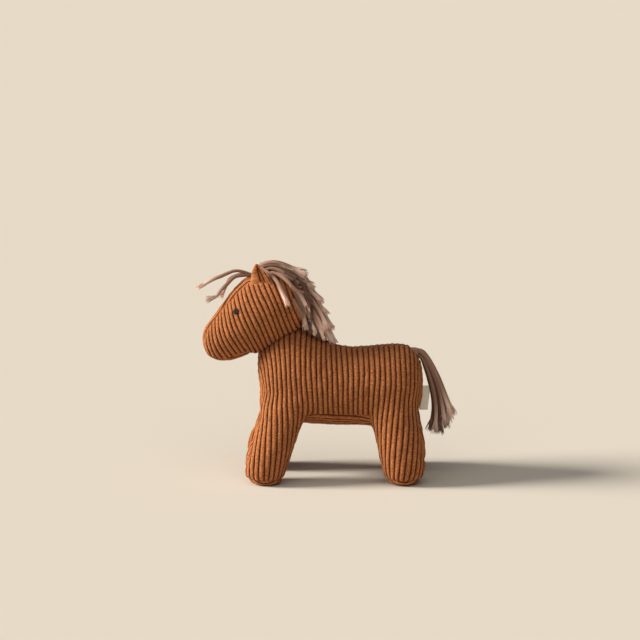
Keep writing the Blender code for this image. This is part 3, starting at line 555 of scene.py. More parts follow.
def knit_group():
    """Knitted stitches along a rib: how light the yarn is, a mask for the shade painted into the grooves, and a
    height.
    """
    if "knit_stitches" in bpy.data.node_groups:
        return bpy.data.node_groups["knit_stitches"]
    group = bpy.data.node_groups.new("knit_stitches", "ShaderNodeTree")
    group.interface.new_socket(name="Place", in_out="INPUT", socket_type="NodeSocketVector")
    for label in ("Shade", "Groove", "Height"):
        group.interface.new_socket(name=label, in_out="OUTPUT", socket_type="NodeSocketFloat")
    place = group.nodes.new("NodeGroupInput").outputs["Place"]
    out = group.nodes.new("NodeGroupOutput")
    split = add_node(group, "ShaderNodeSeparateXYZ", {0: place})
    across, along = split.outputs[0], split.outputs[1]
    from_middle = maths(group, "ABSOLUTE", maths(group, "MULTIPLY_ADD", maths(group, "FRACT", across), 2.0, -1.0))
    wale = maths(group, "FRACT", maths(group, "MULTIPLY", across, KNIT_WALES))
    arm = maths(group, "ABSOLUTE", maths(group, "SUBTRACT", wale, 0.5))
    stitch = maths(group, "MULTIPLY_ADD", along, KNIT_STITCHES, maths(group, "MULTIPLY", arm, KNIT_ARMS))
    wave = maths(group, "SINE", maths(group, "MULTIPLY", stitch, math.tau))
    edge = maths(group, "SINE", maths(group, "MULTIPLY", wale, math.pi))
    loops = maths(group, "MULTIPLY", maths(group, "MULTIPLY_ADD", wave, 0.5, 0.5), edge)
    shade, height = maths(group, "MULTIPLY_ADD", loops, KNIT_LOOPS, KNIT_BASE), loops
    for *look, tone, lift in KNIT_NOISES:
        speck = noise(group, place, *look)
        shade = maths(group, "MULTIPLY_ADD", speck, tone, maths(group, "SUBTRACT", shade, tone / 2))
        height = maths(group, "MULTIPLY_ADD", speck, lift, height)
    # The mask for painted shade rises from the rib's flanks into its groove.
    groove = smooth_step(group, from_middle, GROOVE_SHADE_START, 1.0)
    set_inputs(group, out, {"Shade": shade, "Groove": groove, "Height": height})
    return group


def cover_material(name, settings):
    """Brushed cotton knit in chunky ribs, with shade painted into the grooves."""
    if name in bpy.data.materials:
        return bpy.data.materials[name]
    material, tree, surface = start_material(name)
    place = add_node(tree, "ShaderNodeUVMap", uv_map="along")
    knit = add_node(tree, "ShaderNodeGroup", {"Place": place}, node_tree=knit_group())
    # Painted shade: grooves and rib flanks are mixed towards the darker colour painted where the ribs shade each
    # other.
    body = mix_colours(tree, knit.outputs["Groove"], rgba(settings.colour), rgba(settings.groove_shade_colour))
    dress(tree, surface, shaded(tree, body, knit.outputs["Shade"]), (0.75, 0.0005, knit.outputs["Height"]), {
        "Roughness": 0.92, "Specular IOR Level": 0.05, "Sheen Weight": 0.10, "Sheen Roughness": 0.4,
        "Sheen Tint": (1.0, 0.6, 0.35, 1.0)})
    return material


# Strands from this number on lie in the pile's depth, where little light reaches.
UNDER_STRANDS = 1000
UNDER_SHADE = (0.42, 0.32, 0.27, 1.0)
# Where a strand starts to pale, as a share of its length, and how much less the strands in the depth do, as painted
# shade.
YARN_FADE, UNDER_FADE = 0.55, 0.5
# How dark the darkest strand is, and how much lighter the lightest.
STRAND_TONE, STRAND_TONES = 0.68, 0.60


def yarn_material(settings):
    """Soft cotton roving that pales towards its frayed ends, with shade painted on strands in the depth."""
    name = "cotton_roving"
    if name in bpy.data.materials:
        return bpy.data.materials[name]
    material, tree, surface = start_material(name)
    place = add_node(tree, "ShaderNodeUVMap", uv_map="along")
    split = add_node(tree, "ShaderNodeSeparateXYZ", {0: place})
    along, strand = split.outputs[0], split.outputs[1]
    stretch = add_node(tree, "ShaderNodeMapping", {"Vector": place, "Scale": (3.0, 22.0, 1.0)})
    streak = noise(tree, stretch, 1.0, 4.0, 0.7)
    # Strands in the pile's depth get painted shade: their tips pale less and UNDER_SHADE darkens their colour.
    under = maths(tree, "GREATER_THAN", strand, UNDER_STRANDS)
    pale = maths(tree, "MULTIPLY_ADD", under, -UNDER_FADE, smooth_step(tree, along, YARN_FADE, 1.0))
    pale = maths(tree, "MULTIPLY_ADD", streak, 0.5, maths(tree, "SUBTRACT", pale, 0.25), clamp=True)
    colour = mix_colours(tree, pale, rgba(settings.colour), rgba(settings.tip_colour))
    colour = mix_colours(tree, under, colour, mix_colours(tree, 1.0, colour, UNDER_SHADE, "MULTIPLY"))
    light = add_node(tree, "ShaderNodeMapRange", {0: streak, 1: 0.25, 2: 0.75, 3: 0.80, 4: 1.18})
    tone = add_node(tree, "ShaderNodeTexWhiteNoise", {"W": maths(tree, "FLOOR", strand)}, noise_dimensions="1D")
    light = maths(tree, "MULTIPLY", light.outputs[0], maths(tree, "MULTIPLY_ADD", tone, STRAND_TONES, STRAND_TONE))
    dress(tree, surface, shaded(tree, colour, light), (0.5, 0.0003, streak), {
        "Roughness": 0.8, "Specular IOR Level": 0.25, "Sheen Weight": 0.3, "Sheen Roughness": 0.4})
    return material


def wave_bands(tree, place, direction, scale, distortion=0.0):
    """A wave texture's output."""
    values = {"Vector": place, "Scale": scale, "Distortion": distortion}
    return add_node(tree, "ShaderNodeTexWave", values, bands_direction=direction).outputs[1]


def thread_material(settings):
    """Near-black embroidery thread with a low sheen."""
    material, tree, surface = start_material("eye_thread")
    wave = wave_bands(tree, add_node(tree, "ShaderNodeUVMap", uv_map="along"), "DIAGONAL", 2.0, 1.5)
    shade = mix_colours(tree, wave, rgba(settings.eye_colour), rgba(settings.eye_colour, 1.8))
    dress(tree, surface, shade, (0.4, 0.0001, wave), {"Roughness": 0.7, "Specular IOR Level": 0.2})
    return material


def label_material(settings):
    """Off-white tape in a fine plain weave."""
    material, tree, surface = start_material("label_tape")
    place = add_node(tree, "ShaderNodeTexCoord").outputs["Object"]
    weave = maths(tree, "MULTIPLY", wave_bands(tree, place, "X", 900.0), wave_bands(tree, place, "Z", 700.0))
    blend = maths(tree, "MULTIPLY_ADD", noise(tree, place, 260.0, 3.0, 0.5), 0.5, maths(tree, "MULTIPLY", weave, 0.5))
    shade = mix_colours(tree, blend, rgba(settings.label_colour, 0.85), rgba(settings.label_colour, 1.06))
    dress(tree, surface, shade, (0.35, 0.0001, weave), {"Roughness": 0.75})
    return material


# The CAD solids that make up body and head.
LEG_NAMES = [f"leg_{end}_{side}" for end in LEGS for side in SIDE_NAMES.values()]
BODY_NODES = (
    "body_side_left", "body_side_right", "belly_gusset", *(f"{leg}_cover" for leg in LEG_NAMES),
    *(f"{leg}_sole" for leg in LEG_NAMES), "body_filling", *(f"{leg}_filling" for leg in LEG_NAMES))
HEAD_NODES = ("head_side_left", "head_side_right", "head_gusset", "head_filling")

# The grain of the surfaces round them, and how often these are smoothed.
BODY_GRAIN, HEAD_GRAIN, SHELL_PASSES = 0.0021, 0.0019, 8

# Where hips and chest are smoothed further: height and reach, then how far out or forward this sets in, and over
# what way. All are in metres.
HIP_EASE = (0.064, 0.016, 0.004, 0.010)
CHEST_EASE = (0.071, 0.013, 0.045, 0.008)
EASE_PASSES = 60

# Chest and front legs in the side view: z mm, and how far forward of the blocked-out outline they stand in mm. The
# reach says how far forward this sets in and over what way, in metres.
FRONT_PROFILE = (
    (0, 0.4), (10, 0.6), (20, 0.0), (30, -0.3), (38, -0.9), (46, -0.8), (52, 0.0), (58, 0.9), (64, 2.2), (70, 3.4),
    (76, 2.2), (82, 0.6), (88, 0.0), (130, 0.0))
FRONT_REACH = (0.034, 0.018)

# The jaw in the side view: x mm, and how far above the blocked-out outline it runs in mm. The reach says below what
# height this sets in and over what way, in metres.
JAW_PROFILE = (
    (-110, 0.8), (-100, 0.5), (-91, 0.6), (-86, 1.0), (-82, 1.3), (-77, 1.7), (-73, 2.2), (-69, 2.2), (-65, 1.8),
    (-58, 0.8), (-50, 0.0))
JAW_REACH = (-0.137, 0.014)


def ramp(values, start, width):
    """Rises from zero at start to one over a width."""
    return np.clip((values - start) / width, 0, 1)


def bell(values, middle, width):
    """One in the middle, and fading out to both sides."""
    return np.exp(-((values - middle) / width) ** 2)


@functools.cache
def body_shell():
    """The stuffed body with its legs, as one smooth surface."""
    rows, triangles = shell_of(BODY_NODES, BODY_GRAIN, SHELL_PASSES)
    hips = bell(rows[:, 2], *HIP_EASE[:2]) * ramp(np.abs(rows[:, 1]), *HIP_EASE[2:])
    chest = bell(rows[:, 2], *CHEST_EASE[:2]) * ramp(-rows[:, 0], *CHEST_EASE[2:])
    rows = eased(rows, triangles, np.maximum(hips, chest), EASE_PASSES)
    height, forward = np.array(FRONT_PROFILE).T * MM
    rows[:, 0] -= np.interp(rows[:, 2], height, forward) * ramp(-rows[:, 0], *FRONT_REACH)
    return rows, triangles


@functools.cache
def head_shell():
    """The stuffed head, as one smooth surface."""
    rows, triangles = shell_of(HEAD_NODES, HEAD_GRAIN, SHELL_PASSES)
    along, lift = np.array(JAW_PROFILE).T * MM
    rows[:, 2] += np.interp(rows[:, 0], along, lift) * ramp(-rows[:, 2], *JAW_REACH)
    return rows, triangles


@functools.cache
def body_tree():
    """The body's smooth surface, to ask for nearest points."""
    return tree_of(*body_shell())


@functools.cache
def head_tree():
    """The head's smooth surface, to ask for nearest points."""
    return tree_of(*head_shell())


def lean_at(leans, x, z):
    """How far a rib leans at a place of the side view, from the leans read near it."""
    known = np.array(leans)
    gap = (x[:, None] / MM - known[:, 0]) ** 2 + (z[:, None] / MM - known[:, 1]) ** 2
    weight = np.exp(-gap / (2 * LEAN_REACH ** 2)) + 1e-9 / (1 + gap)
    return (weight * known[:, 2]).sum(axis=1) / weight.sum(axis=1)


def leg_middle(points):
    """How far out the middle of a leg runs, at each point's height."""
    share = np.clip(1 - points[:, 2] / LEG_TOP_Z, 0, 1)
    return HIP_Y + (FOOT_Y - HIP_Y) * share


def leg_reach(points):
    """How far inside the front or hind leg's length each point is, in the side view."""
    share = np.clip(1 - points[:, 2] / LEG_TOP_Z, 0, 1)
    inside = [half * 1.05 - np.abs(points[:, 0] - hip - lean * share) for hip, lean, half in LEGS.values()]
    return np.max(inside, axis=0)


def outer_field(points):
    """Above zero on the side panels, which take in the outer half of each leg."""
    leg = np.minimum(np.abs(points[:, 1]) - leg_middle(points), leg_reach(points))
    return np.maximum(points[:, 2] - BELLY_SEAM_Z, leg)


def down_round(points, middle, whole):
    """The way down the side of the horse, round a middle line."""
    side = np.where(points[:, 1] < 0, LEFT, RIGHT)
    rise = points[:, 2] - middle
    if not whole:
        rise = np.maximum(rise, 0)
    across = np.abs(points[:, 1])
    reach = np.maximum(np.hypot(rise, across), 1e-6)
    return side * rise / reach, -across / reach


def rib_fields(rows, triangles, heading, pitch):
    """Rib count across and along a sheet whose ribs run along heading."""
    points = rows[:, :3]
    middle = points[triangles].mean(axis=1)
    normal = unit(np.cross(points[triangles[:, 1]] - points[triangles[:, 0]],
                           points[triangles[:, 2]] - points[triangles[:, 0]]))
    run = heading(middle, normal)
    run = unit(run - normal * (run * normal).sum(axis=1, keepdims=True))
    across = np.cross(normal, run)
    return (follow(points, triangles, across / pitch, points[:, 0] / pitch),
            follow(points, triangles, run / pitch, -points[:, 2] / pitch))


# How much flatter the ribs lie where they run over the back, and the rise of the surface's normal where that sets
# in, with the way over which it does.
BACK_CALM = 0.45
BACK_SLOPE = (0.5, 0.4)
# How far the grooves stray sideways, as a share of a rib.
RIB_WANDER = 0.06
# How unevenly a rib is filled: share of its height, turns for each rib's width along it, and shift from rib to rib.
RIB_BULGES = ((0.10, 1.1, 2.1), (0.07, 2.7, 4.3))
# The share of a rib's height that lies under the smooth surface.
RIB_SINK = 0.55


def rib_back(share):
    """How high a rib stands at a share of its width: round on top, narrow in its grooves."""
    from_middle = np.abs(2 * share - 1)
    return np.maximum(1 - from_middle ** 2.5, 0) ** 0.66


def ribbed(name, sheet, heading, settings, nodes, pitch=None, depth=1.0, creases=()):
    """A panel of ribbed knit that stands for CAD nodes, pulled in along its seams and creases."""
    rows, triangles = sheet
    across, along = rib_fields(rows, triangles, heading, pitch or settings.rib_pitch)
    wander = RIB_WANDER * np.sin(along * 0.45 + 1.3 * np.round(across)) * np.sin(across * 0.9 + 2.0)
    rim = rim_of(rows, triangles)
    rows, faces = sliced(np.column_stack([rows, along]), triangles, across + wander)
    points, normal, along, across = rows[:, :3], unit(rows[:, 3:6]), rows[:, -2], rows[:, -1]
    rib = np.floor(across)
    gap = distances(points, rim)
    bulge = 1 + sum(size * np.sin(along * turns + shift * rib) for size, turns, shift in RIB_BULGES)
    calm = 1 - BACK_CALM * ramp(normal[:, 2], *BACK_SLOPE)
    fade = 1 - np.exp(-gap / (0.8 * settings.seam_width))
    rise = settings.rib_depth * depth * calm * (rib_back(across - rib) * bulge - RIB_SINK) * fade
    rise -= settings.seam_depth * np.exp(-(gap / settings.seam_width) ** 1.4)
    for line, deep, wide in creases:
        rise -= deep * bell(distances(points, line), 0, wide)
    material = cover_material("ribbed_knit", settings)
    piece = add_piece(name, points + normal * rise[:, None], faces, material, np.column_stack([across, along]))
    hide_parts(*nodes)
    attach(piece, "stuffed_body")


@functools.cache
def head_sheet():
    """The head's surface down to where it is sewn to the neck, and points along that seam."""
    rows, triangles = head_shell()
    gap = above(body_tree(), rows[:, :3])[0]
    rows, triangles, gap = cut(rows, triangles, gap - NECK_GAP)
    rows, triangles = part_of(rows, triangles, gap[triangles].mean(axis=1) > 0)
    rows, triangles = largest_island(rows, triangles)
    rim = rim_of(rows, triangles)
    _, near, normal = above(body_tree(), rows[:, :3])
    pull = bell(distances(rows[:, :3], rim), 0, NECK_TUCK)[:, None]
    rows[:, :3] += pull * (near - normal * NECK_SINK - rows[:, :3])
    return rows, triangles, rim


def crease_lines():
    """The creases of the body's side panels, with depth and half width."""
    lines = [(head_sheet()[2], *NECK_CREASE)]
    for route, depth, width in CREASES:
        for side in SIDE_NAMES:
            path = resample([beside(x * MM, z * MM, side, 0.0) for x, z in route], 30)
            lines.append((path, depth * MM, width * MM))
    return lines


def side_heading(middle, normal):
    """Ribs run down the body's side and on down the outer half of each leg."""
    across, down = down_round(middle, BODY_AXIS_Z, False)
    lean = lean_at(BODY_LEANS, middle[:, 0], middle[:, 2])
    return np.column_stack([lean, across, down])


def leg_heading(middle, normal):
    """Ribs run down the inner half of a leg."""
    lean = lean_at(BODY_LEANS, middle[:, 0], middle[:, 2])
    return np.column_stack([lean, np.sign(middle[:, 1]) * 0.14, np.full(len(middle), -1.0)])


def lengthwise(middle, normal):
    """Ribs run along the horse."""
    return np.tile([1.0, 0.0, 0.0], (len(middle), 1))


def head_heading(middle, normal):
    """Ribs run down the cheek and sweep back under the jaw."""
    axis = HEAD_CENTRE[1] + HEAD_SLOPE * (middle[:, 0] - HEAD_CENTRE[0])
    across, down = down_round(middle, axis, True)
    lean = lean_at(HEAD_LEANS, middle[:, 0], middle[:, 2])
    return np.column_stack([lean * np.maximum(np.abs(down), 0.35), across, down])


def profile_heading(middle, normal):
    """Ribs run over the forehead from nose to poll."""
    return np.cross(np.array([0.0, 1.0, 0.0]), normal)


# How bright the lit floor is next to its colour, so that the world looks the same where the floor ends.
SKY_MATCH = 1.20
# The weak light that comes from all round.
SKY_COLOUR, SKY_STRENGTH = (1.0, 0.97, 0.94, 1.0), 0.10
# The lamps' directions, how wide they look in degrees, and their colours.
KEY_LAMP = ((-1.0, -0.03, 0.50), 20, (1.0, 0.96, 0.90))
FILL_LAMP = ((-0.15, -0.7, 1.0), 80, (1.0, 0.97, 0.94))
FLOOR_RADIUS = 14.0
CAMERA_PLACE, CAMERA_AIM = (-0.0056, -2.0137, 0.5277), (-0.0056, 0.0, 0.1436)


class PLUSH_OT_stage(bpy.types.Operator):
    """Makes the floor, the lights and the camera"""

    bl_idname = "plush.stage"
    bl_label = "Stage"

    def execute(self, context):
        settings = context.scene.plush_stage
        context.scene.view_settings.view_transform = "Standard"
        self.make_floor(settings)
        self.make_world(context.scene, settings)
        for name, strength, (place, width, colour) in (
                ("key", settings.key_strength, KEY_LAMP), ("fill", settings.fill_strength, FILL_LAMP)):
            lamp = bpy.data.lights.new(name, "SUN")
            lamp.angle = math.radians(width)
            lamp.energy = strength
            lamp.color = colour
            self.aim(add_object(name, lamp), place, (0.0, 0.0, 0.0))
        lens = bpy.data.cameras.new("camera")
        lens.sensor_width = 36.0
        lens.lens = settings.lens
        context.scene.camera = add_object("camera", lens)
        self.aim(context.scene.camera, CAMERA_PLACE, CAMERA_AIM)
        return {"FINISHED"}

    def aim(self, thing, place, target):
        """Puts a lamp or a camera at a place and turns it to a target."""
        thing.location = place
        thing.rotation_euler = (Vector(target) - Vector(place)).to_track_quat("-Z", "Y").to_euler()

    def make_floor(self, settings):
        """A wide plain disc."""
        material, tree, surface = start_material("pale_floor")
        patches = add_node(tree, "ShaderNodeTexNoise", {"Scale": 3.0, "Detail": 4.0})
        tint = mix_colours(
            tree, patches.outputs[0], rgba(settings.floor_colour, 0.985), rgba(settings.floor_colour, 1.015))
        set_inputs(tree, surface, {"Base Color": tint, "Roughness": 1.0, "Specular IOR Level": 0.0})
        mesh = bpy.data.meshes.new("floor")
        shape = bmesh.new()
        bmesh.ops.create_circle(shape, cap_ends=True, segments=96, radius=FLOOR_RADIUS)
        shape.to_mesh(mesh)
        shape.free()
        mesh.materials.append(material)
        add_object("floor", mesh)

    def make_world(self, scene, settings):
        """A weak light all round, which is seen in the floor's colour."""
        scene.world = bpy.data.worlds.new("studio")
        scene.world.use_nodes = True
        tree = scene.world.node_tree
        light = tree.nodes["Background"]
        set_inputs(tree, light, {"Color": SKY_COLOUR, "Strength": SKY_STRENGTH})
        seen = add_node(tree, "ShaderNodeBackground", {"Color": rgba(settings.floor_colour), "Strength": SKY_MATCH})
        path = tree.nodes.new("ShaderNodeLightPath")
        pick = maths(tree, "MAXIMUM", path.outputs["Is Camera Ray"], path.outputs["Is Glossy Ray"])
        pick = maths(tree, "MAXIMUM", pick, path.outputs["Is Transmission Ray"])
        both = add_node(tree, "ShaderNodeMixShader", {0: pick, 1: light, 2: seen})
        tree.links.new(both.outputs[0], tree.nodes["World Output"].inputs["Surface"])


def solids_tree(names):
    """Some CAD solids, to ask for nearest points."""
    points, faces = [], []
    for name in names:
        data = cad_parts[name].data
        start = len(points)
        points += [tuple(vertex.co) for vertex in data.vertices]
        faces += [[start + k for k in polygon.vertices] for polygon in data.polygons]
    return BVHTree.FromPolygons(points, faces)


def nearer(points, names, others):
    """How much nearer each point is to some CAD solids than to others."""
    near, far = solids_tree(names), solids_tree(others)
    return np.array([far.find_nearest(point)[3] - near.find_nearest(point)[3] for point in points.tolist()])


# Under this height all that is near a leg belongs to it.
LEG_ONLY_Z = 0.035
# The front legs stand before this x.
LEGS_APART_X = 0.01


class PLUSH_OT_body_cover(bpy.types.Operator):
    """Makes the ribbed panels of body and legs"""

    bl_idname = "plush.body_cover"
    bl_label = "Body cover"

    def execute(self, context):
        settings = context.scene.plush_cover
        rows, triangles = body_shell()
        rows, triangles, _ = cut(rows, triangles, rows[:, 1])
        rows, triangles, _ = cut(rows, triangles, outer_field(rows[:, :3]))
        leg_gap = nearer(rows[:, :3], [f"{leg}_cover" for leg in LEG_NAMES], ["belly_gusset"])
        leg_gap = np.where(rows[:, 2] < LEG_ONLY_Z, 0.01, leg_gap)
        rows, triangles, leg_gap = cut(rows, triangles, leg_gap)
        rows, triangles, sole = cut(np.column_stack([rows, leg_gap]), triangles, rows[:, 2] - SOLE_SEAM_Z)
        rows, leg_gap = rows[:, :6], rows[:, 6]
        middle = rows[triangles].mean(axis=1)[:, :3]
        outer = outer_field(middle) > 0
        below = sole[triangles].mean(axis=1) < 0
        leg = leg_gap[triangles].mean(axis=1) > 0
        front = middle[:, 0] < LEGS_APART_X

        def panel(name, chosen, heading, *nodes, **look):
            ribbed(name, part_of(rows, triangles, chosen), heading, settings, nodes, **look)

        creases = crease_lines()
        for side, name in SIDE_NAMES.items():
            near = middle[:, 1] * side > 0
            panel(f"body_panel_{name}", near & outer & ~below, side_heading, f"body_side_{name}",
                  *(f"leg_{end}_{name}_cover" for end in LEGS), creases=creases)
            for end, at_end in zip(LEGS, (front, ~front)):
                panel(f"inner_leg_{end}_{name}", near & ~outer & ~below & leg & at_end, leg_heading,
                      f"leg_{end}_{name}_filling")
                panel(f"sole_{end}_{name}", near & below & at_end, lengthwise, f"leg_{end}_{name}_sole", depth=0.4)
        panel("belly_panel", ~outer & ~below & ~leg, lengthwise, "belly_gusset", "body_filling")
        return {"FINISHED"}


class PLUSH_OT_head_cover(bpy.types.Operator):
    """Makes the ribbed panels of the head"""

    bl_idname = "plush.head_cover"
    bl_label = "Head cover"

    def execute(self, context):
        settings = context.scene.plush_cover
        rows, triangles, _ = head_sheet()
        rows, triangles, _ = cut(rows, triangles, rows[:, 1])
        band = nearer(rows[:, :3], ["head_gusset"], ["head_side_left", "head_side_right"])
        rows, triangles, band = cut(rows, triangles, band)
        middle = rows[triangles].mean(axis=1)
        gusset = band[triangles].mean(axis=1) > 0
        for side, name in SIDE_NAMES.items():
            sheet = part_of(rows, triangles, ~gusset & (middle[:, 1] * side > 0))
            ribbed(f"head_panel_{name}", sheet, head_heading, settings, [f"head_side_{name}"], settings.head_pitch)
        sheet = part_of(rows, triangles, gusset)
        ribbed("forehead_panel", sheet, profile_heading, settings, ["head_gusset", "head_filling"])
        return {"FINISHED"}


def resample(points, count):
    """A smooth curve through points, as count points evenly along it."""
    points = np.asarray(points, float)
    padded = np.vstack([2 * points[0] - points[1], points, 2 * points[-1] - points[-2]])
    dense = []
    for k in range(len(points) - 1):
        a, b, c, d = padded[k:k + 4]
        for t in np.linspace(0, 1, 10, endpoint=k == len(points) - 2):
            dense.append(0.5 * (2 * b + (c - a) * t + (2 * a - 5 * b + 4 * c - d) * t * t
                                + (3 * b - a - 3 * c + d) * t ** 3))
    dense = np.array(dense)
    run = np.append(0, np.cumsum(np.linalg.norm(np.diff(dense, axis=0), axis=1)))
    return np.column_stack([np.interp(np.linspace(0, run[-1], count), run, dense[:, k]) for k in range(3)])


def quads(rows, columns, closed=False):
    """Faces between rows of points. Closed rows run round."""
    pairs = [(k, (k + 1) % columns) for k in range(columns if closed else columns - 1)]
    return [
        [row + one, row + two, row + columns + two, row + columns + one]
        for row in range(0, (rows - 1) * columns, columns) for one, two in pairs]


def tube(path, radii, sides, flute=0.0, flutes=5, turn=0.0):
    """Points and faces of a tube along a path, closed at both ends. radii is one radius for each point."""
    path = np.asarray(path, float)
    ahead = unit(np.gradient(path, axis=0))
    one = np.cross(ahead[0], [0.0, 0.0, 1.0] if abs(ahead[0, 2]) < 0.9 else [1.0, 0.0, 0.0])
    angle = np.arange(sides) * math.tau / sides
    rings = []
    for k, place in enumerate(path):
        one = one - ahead[k] * (one @ ahead[k])
        one /= np.linalg.norm(one)
        two = np.cross(ahead[k], one)
        reach = radii[k] * (1 + flute * np.cos(flutes * angle + turn * k))
        rings.append(place + reach[:, None] * (np.cos(angle)[:, None] * one + np.sin(angle)[:, None] * two))
    ends = [list(range(sides))[::-1], [(len(path) - 1) * sides + k for k in range(sides)]]
    return np.vstack(rings), quads(len(path), sides, closed=True) + ends


# A strand's points along and round it, and the radii of one of its loose fibres in mm.
STRAND_POINTS, STRAND_SIDES = 22, 12
FIBRE_RADII = (0.30, 0.30, 0.27, 0.22, 0.13)


class YarnPile:
    """Gathers strands or threads into one mesh."""

    def __init__(self, settings, seed):
        self.settings = settings
        self.random = np.random.default_rng(seed)
        self.points, self.faces, self.uvs, self.count = [], [], [], 0

    def add(self, made, along, around):
        """Adds a tube. along is one value for each ring, around one for each point."""
        points, faces = made
        self.faces += [[self.count + k for k in face] for face in faces]
        self.points.append(points)
        self.uvs.append(np.column_stack([np.repeat(along, len(points) // len(along)), around]))
        self.count += len(points)

    def strand(self, path, radius, spread=1.0, brush=1.0, under=False):
        """One soft strand with a brush of loose fibres at its cut end; under marks it for painted shade."""
        path = resample(path, STRAND_POINTS)
        share = np.linspace(0, 1, STRAND_POINTS)
        swell = 0.86 + 0.07 * np.sin(share * 9 + self.random.uniform(0, 6)) + 0.20 * share
        radii = radius * np.clip(swell, 0.6, 1.3) * np.interp(share, (0, 0.2), (0.6, 1))
        radii[-1] *= 0.72
        made = tube(path, radii, STRAND_SIDES, 0.04, 3, self.random.uniform(-0.2, 0.2))
        # Strands under others are numbered from UNDER_STRANDS on, which gives them the yarn's painted shade.
        offset = self.random.integers(0, UNDER_STRANDS) + UNDER_STRANDS * under
        half = STRAND_SIDES / 2
        around = 0.2 + np.abs(np.tile(np.arange(STRAND_SIDES), STRAND_POINTS) - half) / STRAND_SIDES
        self.add(made, share * 0.93, around + offset)
        ahead = unit(path[-1] - path[-3])
        one = unit(np.cross(ahead, [0.3, 0.9, 0.2]))
        two = np.cross(ahead, one)
        buried = np.linalg.norm(path[-1] - path[-3]) * 0.6
        long = self.settings.brush_length * brush
        for _ in range(self.settings.brush_fibres):
            angle = self.random.uniform(0, math.tau)
            out = math.sqrt(self.random.uniform(0, 1)) * radii[-3] * 0.88
            lean = self.random.normal(0, 0.11, 2) * spread
            side = one * math.cos(angle) + two * math.sin(angle)
            root = path[-3] + side * out
            tip = root + ahead * (long * self.random.uniform(0.75, 1.15) + buried)
            tip = tip + side * out * 0.55 * spread + (one * lean[0] + two * lean[1]) * long
            line = resample([root, (root + tip) / 2 + side * out * 0.12, tip], len(FIBRE_RADII))
            made = tube(line, np.array(FIBRE_RADII) * MM, 4)
            around = np.full(len(made[0]), offset + self.random.uniform(0.1, 0.9))
            self.add(made, np.linspace(0.9, 1.0, len(line)), around)

    def piece(self, name, material, slot="cotton_yarn"):
        """The gathered mesh as a piece."""
        made = add_piece(name, np.vstack(self.points), self.faces, material, np.vstack(self.uvs))
        return made


def outside(points, radius, trees):
    """Moves points out of the surfaces until a strand of that radius lies on them."""
    for tree in trees:
        gap, near, normal = above(tree, points)
        points = points + normal * np.clip(radius - gap, 0, 0.02)[:, None]
    return points


def settle(chains, radius, trees, rounds, held):
    """Lets strands slide apart until they lie beside and on each other. Points before held stay where they are."""
    chains = np.array(chains)
    lengths = np.linalg.norm(np.diff(chains, axis=1), axis=2)
    strands, count = chains.shape[:2]
    owner = np.repeat(np.arange(strands), count)
    start = chains.copy()
    slack = np.tile(np.clip(np.arange(count) / 7, 0.15, 1.0), strands)
    room = 2 * radius * 0.82 * np.minimum(slack[:, None], slack[None, :])
    for _ in range(rounds):
        flat = chains.reshape(-1, 3)
        gap = flat[:, None, :] - flat[None, :, :]
        reach = np.linalg.norm(gap, axis=2)
        close = (reach < room) & (owner[:, None] != owner[None, :])
        push = np.where(close, (room - reach) * 0.25 / np.maximum(reach, 1e-6), 0.0)
        flat = outside(flat + (gap * push[:, :, None]).sum(axis=1), radius * 0.9, trees)
        chains = flat.reshape(strands, count, 3)
        chains[:, :held] = start[:, :held]
        chains[:, 1:-1] += 0.12 * ((chains[:, :-2] + chains[:, 2:]) / 2 - chains[:, 1:-1])
        for k in range(held, count):
            step = chains[:, k] - chains[:, k - 1]
            chains[:, k] = chains[:, k - 1] + unit(step) * lengths[:, k - 1:k]
    return chains


# The middle of the bow that the crest follows, in the side view.
CREST_CENTRE = (-0.035, 0.140)


def crest_line(count):
    """Points along the crest from poll to nape, and their outward normals."""
    tape = np.array([vertex.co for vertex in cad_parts["mane_tape"].data.vertices])
    turn = np.arctan2(tape[:, 2] - CREST_CENTRE[1], tape[:, 0] - CREST_CENTRE[0])
    ends = np.linspace(turn.max() + 1e-6, turn.min() - 1e-6, 15)
    groups = [tape[(turn <= high) & (turn > low)] for high, low in zip(ends, ends[1:])]
    places = np.array([group.mean(axis=0) for group in groups if len(group)])
    places[:, 1] = 0.0
    for _ in range(3):
        places[1:-1] = (places[:-2] + 2 * places[1:-1] + places[2:]) / 4
    line = resample(places, count)
    return line, np.cross(unit(np.gradient(line, axis=0)), [0.0, 1.0, 0.0])


def beside(x, z, side, lift):
    """A point on the side of head and neck at a place of the side view, or near the middle past their outline."""
    hits = [tree.ray_cast(Vector((x, side * 0.2, z)), Vector((0, -side, 0)))[0] for tree in (head_tree(), body_tree())]
    reach = [hit.y * side for hit in hits if hit]
    return np.array([x, side * (max(reach + [0.001]) + lift), z])


# The pile under the side strands runs back from the crest and lifts off it as more strands start under it. The
# shares run along the crest from poll to nape, and the heights, in mm, are the pile's height over the crest there.
# The fan is how far the outer strands lean to each side in degrees.
MANE_STRANDS = 46
MANE_FAN = 42.0
MANE_LENGTH = 0.040
MANE_SHARES = (0.0, 0.12, 0.3, 0.45, 0.6, 0.75, 0.9, 1.0)
MANE_HEIGHTS = (2.0, 2.5, 3.5, 5.0, 7.2, 9.5, 7.5, 3.0)
# The radius of the crest across the neck.
CREST_BEND = 0.027
# How far a strand on the far side strays from its place on the near side, in mm.
STRAY = 1.3
# Where the mane ends over the neck: height at x 0 in metres, and the slope back from there.
MANE_END, MANE_END_SLOPE = 0.1285, -0.667
# How far back the pile reaches in the side view, as z mm and x mm.
MANE_BACK = ((124, 5.0), (140, 2.0), (147, -1.0), (158, -6.0), (168, -10.0), (177, -16.5), (189, -23.0), (200, -34.0))


def clipped(path):
    """A strand cut off where it would hang under the end of the mane or stand out behind it."""
    height, back = np.array(MANE_BACK).T * MM
    past = path[:, 2] - MANE_END - MANE_END_SLOPE * path[:, 0] < 0
    past |= path[:, 0] > np.interp(path[:, 2], height, back)
    return resample(path[:np.argmax(past)], 15) if past.any() and np.argmax(past) > 3 else path


